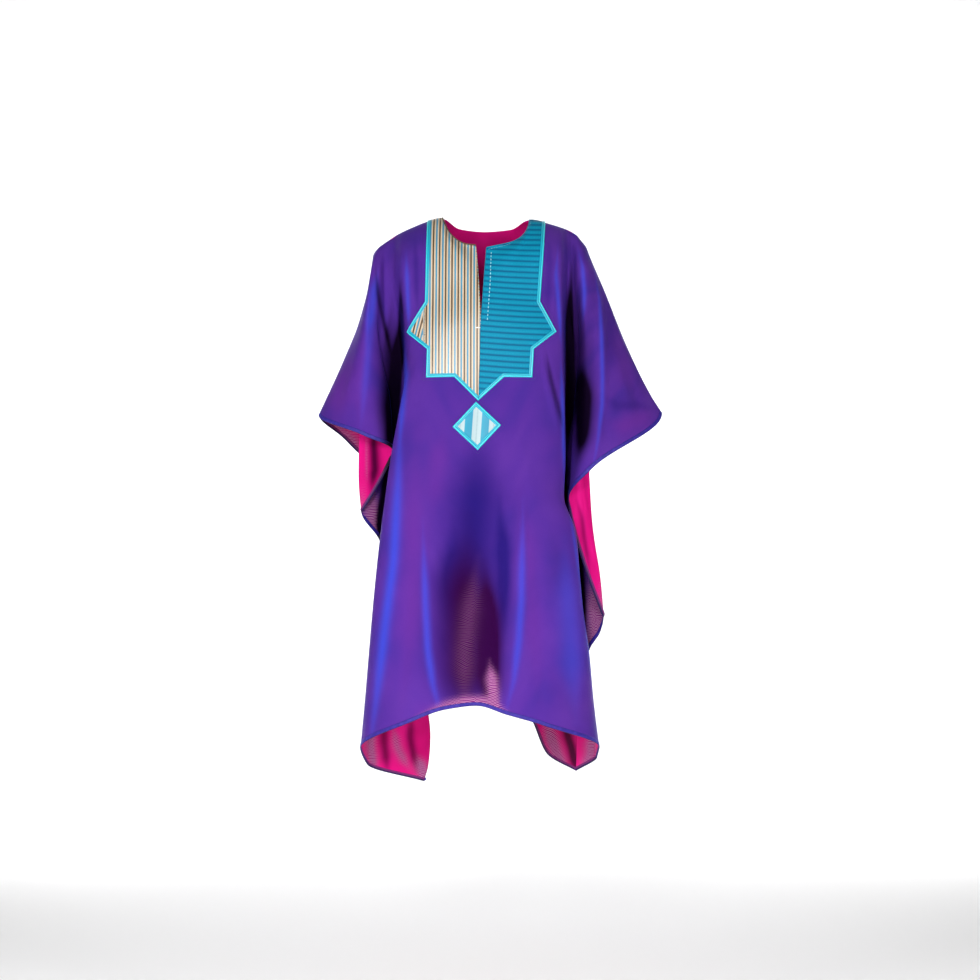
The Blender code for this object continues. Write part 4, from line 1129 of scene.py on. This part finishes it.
def slit_path(side, beyond, lift):
    """Slit edge from the neck down to the slit's end, moved beyond the edge and out."""
    ids = front.grids[side, "upper"][:, 0]
    keep = front.points[ids][:, 2] > SLIT_END - 1
    edge = front.points[ids[keep]]
    out = front.normals()[ids[keep]]
    sign = 1 if side == "left" else -1
    return edge + np.array([sign * beyond, 0, 0]) + out * lift


slit_rolls = [round_cord("slit_roll_striped", slit_path("left", 0.1, 1.4), 1.0),
              round_cord("slit_roll_ribbed", slit_path("right", 0.1, 1.4), 1.0)]


def chest_line(x, z, lift):
    """Path on the chest through front-view places, and the way out of the cloth along it."""
    x, z = np.asarray(x, float), np.asarray(z, float)
    share = np.linspace(0, 1, 80)
    own = np.linspace(0, 1, len(x))
    x, z = np.interp(share, own, x), np.interp(share, own, z)
    return chest.at(x, chest.row_of(x, z), np.full(share.shape, lift))


seam_threads = []
path, out = chest_line([16.0, 14.0, 8.5], [-64, -120, -198], YOKE_TOP + 0.1)
seam_threads.append(stitches("slit_stitches", path, out, 4.4, 3.2, 0.8))
path, out = neck_path("right", -5.0, YOKE_TOP + 0.1)
seam_threads.append(stitches("neck_stitches_ribbed", path, out, 3.0, 2.0, 0.3))
path, out = neck_path("left", -4.5, YOKE_TOP + 0.1)
seam_threads.append(stitches("neck_stitches_striped", path, out, 3.2, 2.4, 0.35))
tack_threads = []
for offset in (-0.7, 0.0, 0.7):
    path, out = chest_line([-13.5, -4.0], [-211.5 + offset, -211.0 + offset], YOKE_TOP + 0.25)
    tack_threads.append(path)
tack = stitches("slit_tack", np.concatenate([tack_threads[0], tack_threads[1][::-1], tack_threads[2]]),
                np.concatenate([out, out, out]), 8.4, 0.9, 0.45)


def outline_stitches(name, corners, closed, lift, dash, gap, half):
    """Stitch row along an outline of the front view, laid on the chest below the shoulder."""
    edges = len(corners) if closed else len(corners) - 1
    pieces = []
    for i in range(edges):
        start, end = corners[i], corners[(i + 1) % len(corners)]
        count = max(3, int(np.linalg.norm(end - start) / 3))
        pieces.append(start + (end - start) * (np.arange(count) / count)[:, None])
    flat = np.concatenate(pieces)
    if not closed:
        flat = flat[flat[:, 1] < STITCH_TOP]
    path, out = chest.at(flat[:, 0], chest.row_of(flat[:, 0], flat[:, 1]), np.full(len(flat), lift))
    return stitches(name, path, out, dash, gap, half)


panel_threads = [
    outline_stitches("yoke_stitches_outer", yoke_outline(-5.5), False, 0.55, SMALL_DASH, 1.1, SMALL_HALF),
    outline_stitches("diamond_stitches_outer", diamond_outline(-4.5), True, 0.55, SMALL_DASH, 1.1,
                     SMALL_HALF),
]
band_threads = [
    outline_stitches("yoke_stitches_edge", yoke_outline(0.9), False, 2.75, 2.4, 0.9, 0.25),
    outline_stitches("yoke_stitches_inner", yoke_outline(6.1), False, 2.8, 2.4, 0.9, 0.25),
    outline_stitches("diamond_stitches_edge", diamond_outline(0.9), True, 2.75, 2.4, 0.9, 0.25),
    outline_stitches("diamond_stitches_inner", diamond_outline(6.1), True, 2.8, 2.4, 0.9, 0.25),
]


def linear(code):
    """sRGB hex colour as linear red, green, blue and alpha."""
    parts = [int(code[i:i + 2], 16) / 255 for i in (1, 3, 5)]
    return [p / 12.92 if p <= 0.04045 else ((p + 0.055) / 1.055) ** 2.4 for p in parts] + [1.0]


def add_node(tree, kind, settings=None, links=None):
    """Adds a node, with settings as attributes or input values, and links from other nodes' outputs."""
    node = tree.nodes.new(kind)
    for key, value in (settings or {}).items():
        if isinstance(key, str) and hasattr(node, key) and key not in node.inputs:
            setattr(node, key, value)
        else:
            node.inputs[key].default_value = value
    for key, (source, output) in (links or {}).items():
        tree.links.new(source.outputs[output], node.inputs[key])
    return node


def new_material(name, settings):
    """Material with one Principled shader and its own plain numbers."""
    material = bpy.data.materials.new(name)
    material.use_nodes = True
    shader = material.node_tree.nodes["Principled BSDF"]
    for key, value in settings.items():
        shader.inputs[key].default_value = value
    return material, material.node_tree, shader


def mix_colour(tree, factor, first, second, blend="MIX"):
    """Mix node for colours; factor and colours are numbers, hex codes or (node, output)."""
    node = tree.nodes.new("ShaderNodeMix")
    node.data_type = "RGBA"
    node.blend_type = blend
    for socket, value in ((node.inputs[0], factor), (node.inputs[6], first), (node.inputs[7], second)):
        if isinstance(value, tuple):
            tree.links.new(value[0].outputs[value[1]], socket)
        else:
            socket.default_value = linear(value) if isinstance(value, str) else value
    return (node, 2)


def math_node(tree, operation, first, second=0.0, clamp=False):
    """Math node; values are numbers or (node, output)."""
    node = tree.nodes.new("ShaderNodeMath")
    node.operation = operation
    node.use_clamp = clamp
    for socket, value in zip(node.inputs, (first, second)):
        if isinstance(value, tuple):
            tree.links.new(value[0].outputs[value[1]], socket)
        else:
            socket.default_value = value
    return (node, 0)


def ramp(tree, factor, stops):
    """Colour ramp from (position, hex) stops."""
    node = tree.nodes.new("ShaderNodeValToRGB")
    elements = node.color_ramp.elements
    while len(elements) < len(stops):
        elements.new(0.5)
    for element, (position, code) in zip(elements, stops):
        element.position = position
        element.color = linear(code)
    tree.links.new(factor[0].outputs[factor[1]], node.inputs[0])
    return (node, 0)


def attribute(tree, name):
    """Number stored at the cloth's points, as (node, output)."""
    node = tree.nodes.new("ShaderNodeAttribute")
    node.attribute_name = name
    return (node, 2)


def cloth_map(tree, turn=0.0):
    """The piece's own cloth map in metres, turned where the pattern leans."""
    uv = add_node(tree, "ShaderNodeUVMap", {"uv_map": "cloth"})
    node = tree.nodes.new("ShaderNodeMapping")
    node.inputs["Rotation"].default_value = (0, 0, turn)
    tree.links.new(uv.outputs[0], node.inputs[0])
    return node


def split(tree, mapping):
    """Cloth map taken apart: output 0 is across and output 1 down the cloth."""
    return add_node(tree, "ShaderNodeSeparateXYZ", None, {0: (mapping, 0)})


def weave_bump(tree, shader, mapping, spacing, strength, slub=None):
    """Plain weave: crossed sine threads as bump, spacing in millimetres; slub adds uneven yarns."""
    parts = split(tree, mapping)
    waves = []
    for axis in (0, 1):
        scaled = math_node(tree, "MULTIPLY", (parts, axis), 2 * math.pi / (spacing * MM))
        waves.append(math_node(tree, "SINE", scaled))
    height = math_node(tree, "MULTIPLY", waves[0], waves[1])
    if slub is not None:
        noise = add_node(tree, "ShaderNodeTexNoise", {"Scale": slub, "Detail": 3.0}, {"Vector": (mapping, 0)})
        height = math_node(tree, "ADD", height, math_node(tree, "MULTIPLY", (noise, 0), 3.0))
    bump = add_node(tree, "ShaderNodeBump", {"Strength": strength, "Distance": 0.15 * MM},
                    {"Height": height})
    tree.links.new(bump.outputs[0], shader.inputs["Normal"])
    return height


def moire(tree, mapping, light, dark):
    """Moire of two sheer layers, painted as light coming through: wavy bands about 5 mm apart, light where
    the threads line up.
    """
    waves = add_node(tree, "ShaderNodeTexWave",
                     {"bands_direction": "Y", "Scale": 58.0, "Distortion": 12.0, "Detail": 1.0,
                      "Detail Scale": 0.34},
                     {"Vector": (mapping, 0)})
    return ramp(tree, (waves, 0), [(0.25, dark), (0.6, light), (0.9, dark)])


# Shot voile, outer face: blue warp over magenta weft in a fine plain weave, so it reads as violet and turns
# blue on ridges and edges, partly by its blue sheen and partly by painted sheen in the colour. Its colour
# also carries painted light where the cloth faces the light and where light comes through sheer places, and
# painted shade in the middle and in deep folds. Sheen is the fuzz of fine spun yarn. The weave is drawn at
# 1.1 mm, coarser than its real 0.3 mm, because the real one is too fine to show.
voile_out, tree, shader = new_material("shot_voile_outer", {
    "Roughness": 0.5, "Specular IOR Level": 0.12, "Specular Tint": linear("#8A5CC8"),
    "Sheen Weight": 0.3, "Sheen Roughness": 0.25, "Sheen Tint": linear("#4A52FF")})
mapping = cloth_map(tree)
cloud = add_node(tree, "ShaderNodeTexNoise", {"Scale": 9.0, "Detail": 2.0}, {"Vector": (mapping, 0)})
fine = add_node(tree, "ShaderNodeTexNoise", {"Scale": 420.0, "Detail": 1.0}, {"Vector": (mapping, 0)})
colour = ramp(tree, (cloud, 0), [(0.32, "#45298A"), (0.5, "#502B8E"), (0.7, "#572F92")])
# Painted blue sheen, pinker painted light, and dark blue and wine painted shade, each where its strokes lie.
for label, code in (("pink_light", "#642C90"), ("dark_blue_shade", "#24166C"), ("wine_shade", "#2A0234"), ("blue", "#3A48CC")):
    colour = mix_colour(tree, attribute(tree, label), colour, code)
# Painted light coming through the sheer cloth, with a moire.
colour = mix_colour(tree, attribute(tree, "sheer_backlight"), colour, moire(tree, mapping, "#D89CC0", "#7A2E72"))
speck = math_node(tree, "MULTIPLY", math_node(tree, "SUBTRACT", (fine, 0), 0.5), 0.35)
colour = mix_colour(tree, math_node(tree, "ABSOLUTE", speck), colour, "#22104E")
colour = mix_colour(tree, attribute(tree, "shade"), colour, "#040008")
tree.links.new(colour[0].outputs[colour[1]], shader.inputs["Base Color"])
weave_bump(tree, shader, mapping, 1.1, 0.22, slub=160.0)

# The same voile from inside: the magenta weft floats on this face.
voile_in, tree, shader = new_material("shot_voile_inner", {
    "Roughness": 0.5, "Specular IOR Level": 0.12, "Specular Tint": linear("#D84090"),
    "Sheen Weight": 0.25, "Sheen Roughness": 0.3, "Sheen Tint": linear("#FF40B0")})
mapping = cloth_map(tree)
cloud = add_node(tree, "ShaderNodeTexNoise", {"Scale": 8.0, "Detail": 2.0}, {"Vector": (mapping, 0)})
colour = ramp(tree, (cloud, 0), [(0.3, "#C81070"), (0.55, "#DA147C"), (0.75, "#E8208C")])
# Painted light coming through the sheer cloth, with a moire, seen from inside.
colour = mix_colour(tree, attribute(tree, "sheer_backlight"), colour, moire(tree, mapping, "#DC9AC0", "#8E2E72"))
# Painted shade in the troughs of the inner face.
colour = mix_colour(tree, attribute(tree, "deep"), colour, "#4A0030")
tree.links.new(colour[0].outputs[colour[1]], shader.inputs["Base Color"])
weave_bump(tree, shader, mapping, 1.1, 0.22, slub=160.0)

# Turned hem: three layers of the voile, denser and bluer outside, plum inside, with painted shade almost
# black at the fold, and painted shade of deep folds where the panel has it.
hem_cloth, tree, shader = new_material("shot_voile_hem", {
    "Roughness": 0.5, "Specular IOR Level": 0.25, "Sheen Weight": 0.5, "Sheen Roughness": 0.3,
    "Sheen Tint": linear("#5566FF")})
mapping = cloth_map(tree)
parts = split(tree, mapping)
pucker = add_node(tree, "ShaderNodeTexNoise", {"Scale": 130.0, "Detail": 2.0}, {"Vector": (mapping, 0)})
colour = ramp(tree, (pucker, 0), [(0.3, "#2C1F80"), (0.55, "#36268E"), (0.75, "#41309E")])
turned = math_node(tree, "MULTIPLY", (parts, 1), 1 / (2 * HEM_WIDTH * MM))
# Painted shade: an almost black band round the hem's fold.
fold_shade_band = ramp(tree, turned, [(0.40, "#000000"), (0.50, "#FFFFFF"), (0.72, "#FFFFFF"), (0.76, "#000000")])
colour = mix_colour(tree, math_node(tree, "GREATER_THAN", turned, 0.6), colour, "#6E2266")
colour = mix_colour(tree, fold_shade_band, colour, "#1C0A48")
colour = mix_colour(tree, attribute(tree, "shade"), colour, "#06000C")
tree.links.new(colour[0].outputs[colour[1]], shader.inputs["Base Color"])
weave_bump(tree, shader, mapping, 1.1, 0.25, slub=120.0)

# Striped satin of the yoke: warp stripes in brown, cream and blue, smooth woven face with a gloss.
STRIPE = 11.7
striped, tree, shader = new_material("striped_satin", {
    "Roughness": 0.3, "Specular IOR Level": 0.75, "Anisotropic": 0.35})
mapping = cloth_map(tree)
parts = split(tree, mapping)
phase = math_node(tree, "FRACT", math_node(tree, "MULTIPLY", (parts, 0), 1 / (STRIPE * MM)))
colour = ramp(tree, phase, [(0.0, "#57402C"), (0.235, "#654C36"), (0.275, "#E2CEB0"), (0.485, "#DCC6A6"),
                            (0.515, "#3A8CB4"), (0.75, "#459AC0"), (0.79, "#E2CEB0"), (0.975, "#DCC6A6")])
grain = add_node(tree, "ShaderNodeTexNoise", {"Scale": 700.0, "Detail": 2.0}, {"Vector": (mapping, 0)})
colour = mix_colour(tree, math_node(tree, "MULTIPLY", (grain, 0), 0.25), colour, "#8A7460", "MULTIPLY")
tree.links.new(colour[0].outputs[colour[1]], shader.inputs["Base Color"])
weave_bump(tree, shader, mapping, 0.9, 0.15, slub=200.0)

# Ribbed turquoise cloth: cross ribs with a chain of small woven ovals between the grooves, and painted shade
# darkening each groove.
ribbed, tree, shader = new_material("ribbed_jacquard", {
    "Roughness": 0.42, "Specular IOR Level": 0.08})
mapping = cloth_map(tree)
parts = split(tree, mapping)
rib = math_node(tree, "FRACT", math_node(tree, "MULTIPLY", (parts, 1), 1 / (RIB * MM)))
link = math_node(tree, "FRACT", math_node(tree, "MULTIPLY", (parts, 0), 1 / (5.2 * MM)))
across = math_node(tree, "MULTIPLY", math_node(tree, "SUBTRACT", link, 0.5), 2.2)
along = math_node(tree, "MULTIPLY", math_node(tree, "SUBTRACT", rib, 0.98), 5.0)
oval = math_node(tree, "ADD", math_node(tree, "POWER", math_node(tree, "ABSOLUTE", across), 2.0),
                 math_node(tree, "POWER", math_node(tree, "ABSOLUTE", along), 2.0))
ovals = ramp(tree, oval, [(0.0, "#007C9E"), (0.3, "#10AECE"), (0.5, "#006C90"), (0.9, "#0084A8")])
# Painted shade in each rib's groove.
groove = math_node(tree, "ABSOLUTE", math_node(tree, "SUBTRACT", rib, 0.5))
lines = ramp(tree, groove, [(0.0, "#5488AC"), (0.1, "#74A0C0"), (0.27, "#F0F6F8"), (1.0, "#FFFFFF")])
colour = mix_colour(tree, 1.0, ovals, lines, "MULTIPLY")
fine = add_node(tree, "ShaderNodeTexNoise", {"Scale": 520.0, "Detail": 2.0}, {"Vector": (mapping, 0)})
colour = mix_colour(tree, math_node(tree, "MULTIPLY", (fine, 0), 0.22), colour, "#30C8E4")
tree.links.new(colour[0].outputs[colour[1]], shader.inputs["Base Color"])
weave_bump(tree, shader, mapping, 1.0, 0.3, slub=180.0)

# Satin bias binding: bright turquoise, folded edges catch the light. Across the band the colour also carries
# a painted highlight on the outer rib and painted shade in the groove between the ribs.
satin, tree, shader = new_material("satin_binding", {
    "Roughness": 0.3, "Specular IOR Level": 0.6, "Sheen Weight": 0.2, "Sheen Tint": linear("#B0FFFF")})
mapping = cloth_map(tree)
parts = split(tree, mapping)
place = math_node(tree, "MULTIPLY", (parts, 1), 1 / (BINDING_WIDTH * MM))
# Painted highlight on the outer rib and painted shade in the groove between the ribs.
colour = ramp(tree, place, [(0.0, "#1CC4D4"), (0.25, "#40E4EC"), (0.44, "#14B0C8"), (0.5, "#00809C"),
                            (0.58, "#00A0BC"), (0.78, "#10B8D0"), (1.0, "#0098B4")])
tree.links.new(colour[0].outputs[colour[1]], shader.inputs["Base Color"])
weave_bump(tree, shader, mapping, 0.8, 0.15, slub=240.0)

# Striped cloth of the diamond: broad white and turquoise satin stripes, with a fine dotted line down each
# white one.
diamond_satin, tree, shader = new_material("broad_striped_satin", {
    "Roughness": 0.38, "Specular IOR Level": 0.55, "Sheen Weight": 0.15})
mapping = cloth_map(tree, math.radians(4.0))
parts = split(tree, mapping)
phase = math_node(tree, "FRACT", math_node(tree, "ADD",
                  math_node(tree, "MULTIPLY", (parts, 0), 1 / (30.7 * MM)), 0.272))
colour = ramp(tree, phase, [(0.0, "#ACC2C6"), (0.53, "#B4CACE"), (0.555, "#1698B8"), (0.975, "#1090B0")])
centre = math_node(tree, "ABSOLUTE", math_node(tree, "SUBTRACT", phase, 0.272))
dots = math_node(tree, "SINE", math_node(tree, "MULTIPLY", (parts, 1), 2 * math.pi / (2.4 * MM)))
line = math_node(tree, "MULTIPLY", math_node(tree, "LESS_THAN", centre, 0.04),
                 math_node(tree, "GREATER_THAN", dots, -0.2))
colour = mix_colour(tree, math_node(tree, "MULTIPLY", line, 0.75), colour, "#7EA8B0")
tree.links.new(colour[0].outputs[colour[1]], shader.inputs["Base Color"])
weave_bump(tree, shader, mapping, 0.9, 0.15, slub=200.0)

# Brown bias piping at the striped neck edge: matt cotton.
brown, tree, shader = new_material("brown_cotton_piping", {"Roughness": 0.6, "Sheen Weight": 0.2})
mapping = cloth_map(tree)
noise = add_node(tree, "ShaderNodeTexNoise", {"Scale": 400.0, "Detail": 2.0}, {"Vector": (mapping, 0)})
colour = ramp(tree, (noise, 0), [(0.3, "#4A3222"), (0.7, "#63462F")])
tree.links.new(colour[0].outputs[colour[1]], shader.inputs["Base Color"])
weave_bump(tree, shader, mapping, 0.8, 0.25, slub=200.0)


def thread_material(name, code):
    """Polyester sewing thread: slight gloss, with its fine twist drawn as bump."""
    material, tree, shader = new_material(name, {"Roughness": 0.45, "Base Color": linear(code)})
    where = add_node(tree, "ShaderNodeTexCoord")
    noise = add_node(tree, "ShaderNodeTexNoise", {"Scale": 1500.0, "Detail": 1.0},
                     {"Vector": (where, "Object")})
    bump = add_node(tree, "ShaderNodeBump", {"Strength": 0.3, "Distance": 0.1 * MM}, {"Height": (noise, 0)})
    tree.links.new(bump.outputs[0], shader.inputs["Normal"])
    return material


thread_pale = thread_material("thread_pale_turquoise", "#A8ECF4")
thread_white = thread_material("thread_white", "#F4F4F0")
thread_dark = thread_material("thread_dark_violet", "#1C1266")
thread_band = thread_material("thread_turquoise", "#0AAAC4")

for cloth in (front_cloth, back_cloth):
    cloth.data.materials.append(voile_out)
    cloth.data.materials.append(voile_in)
for made in hems:
    made.data.materials.append(hem_cloth)
for made in hem_threads + panel_threads:
    made.data.materials.append(thread_dark)
for made in (binding_striped, binding_ribbed, diamond_edge):
    made.data.materials.append(satin)
for made in band_threads:
    made.data.materials.append(thread_band)
diamond.data.materials.append(diamond_satin)
yoke_striped.data.materials.append(striped)
yoke_ribbed.data.materials.append(ribbed)
piping.data.materials.append(brown)
right_roll.data.materials.append(ribbed)
slit_rolls[0].data.materials.append(striped)
slit_rolls[1].data.materials.append(ribbed)
for made in seam_threads:
    made.data.materials.append(thread_pale)
tack.data.materials.append(thread_white)

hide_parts("front_panel")
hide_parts("back_panel")
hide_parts("yoke_striped")
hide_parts("yoke_ribbed")
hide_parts("yoke_binding_striped")
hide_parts("yoke_binding_ribbed")
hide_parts("diamond")
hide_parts("diamond_binding")
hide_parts("neck_piping_brown")


def make_stage():
    """Pale floor that curves up into a backdrop, as one surface: a flat, a quarter circle and a wall."""
    turn = np.linspace(0, math.pi / 2, 24)
    radius = 2.2
    flat_end = 1.4
    wall_top = 5.0
    reach = 6.0
    y = np.concatenate([[-reach, flat_end], flat_end + radius * np.sin(turn[1:]), [flat_end + radius]])
    z = np.concatenate([[0.0, 0.0], radius * (1 - np.cos(turn[1:])), [wall_top]]) + FLOOR
    x = np.array([-reach, reach])
    points = np.stack([np.repeat(x, len(y)), np.tile(y, 2), np.tile(z, 2)], axis=-1)
    n = len(y)
    faces = [[i, i + n, i + n + 1, i + 1] for i in range(n - 1)]
    mesh = bpy.data.meshes.new("floor")
    mesh.from_pydata(points.tolist(), [], faces)
    mesh.polygons.foreach_set("use_smooth", [True] * len(mesh.polygons))
    made = bpy.data.objects.new("floor", mesh)
    bpy.context.scene.collection.objects.link(made)
    paper, _, _ = new_material("backdrop_paper", {"Base Color": linear("#F4F4F4"), "Roughness": 0.9})
    made.data.materials.append(paper)


make_stage()


def area_light(name, place, target, size, power):
    """Soft box: a square area light turned towards a target."""
    data = bpy.data.lights.new(name, "AREA")
    data.shape = "SQUARE"
    data.size = size
    data.energy = power
    made = bpy.data.objects.new(name, data)
    bpy.context.scene.collection.objects.link(made)
    made.location = place
    way = np.array(target, float) - np.array(place, float)
    made.rotation_euler = Vector(way).to_track_quat("-Z", "Y").to_euler()


# Lights: name, place, target, side of the square in metres, and power in watts.
LIGHTS = [
    ("key_softbox", (-0.55, -3.1, 0.6), (0, 0, -0.4), 0.8, 47),
    ("fill_softbox_left", (-2.2, -2.6, 0.1), (0, 0, -0.5), 1.2, 34),
    ("fill_softbox_right", (1.7, -3.0, 0.2), (0, 0, -0.5), 1.2, 36),
    ("floor_light_left", (-1.1, -1.3, -0.5), (-1.1, -1.25, -1.1), 0.8, 15),
    ("floor_light_right", (1.1, -1.3, -0.5), (1.1, -1.25, -1.1), 0.8, 15),
    ("backdrop_light_left", (-2.0, 2.0, 0.0), (-0.6, 3.6, -0.8), 1.4, 64),
    ("backdrop_light_right", (2.0, 2.0, 0.0), (0.6, 3.6, -0.8), 1.4, 64),
]
for light in LIGHTS:
    area_light(*light)

# Even light from all round, as the share of a plain white sky.
WORLD_STRENGTH = 0.16

bpy.context.scene.view_settings.view_transform = "Standard"
world = bpy.data.worlds.new("studio")
world.use_nodes = True
world.node_tree.nodes["Background"].inputs[0].default_value = (1, 1, 1, 1)
world.node_tree.nodes["Background"].inputs[1].default_value = WORLD_STRENGTH
bpy.context.scene.world = world

camera = bpy.data.cameras.new("camera")
camera.sensor_width = CAMERA_SENSOR
camera.lens = CAMERA_LENS
viewer = bpy.data.objects.new("camera", camera)
bpy.context.scene.collection.objects.link(viewer)
viewer.location = CAMERA_PLACE
viewer.rotation_euler = (math.pi / 2, 0.0, 0.0)
bpy.context.scene.camera = viewer
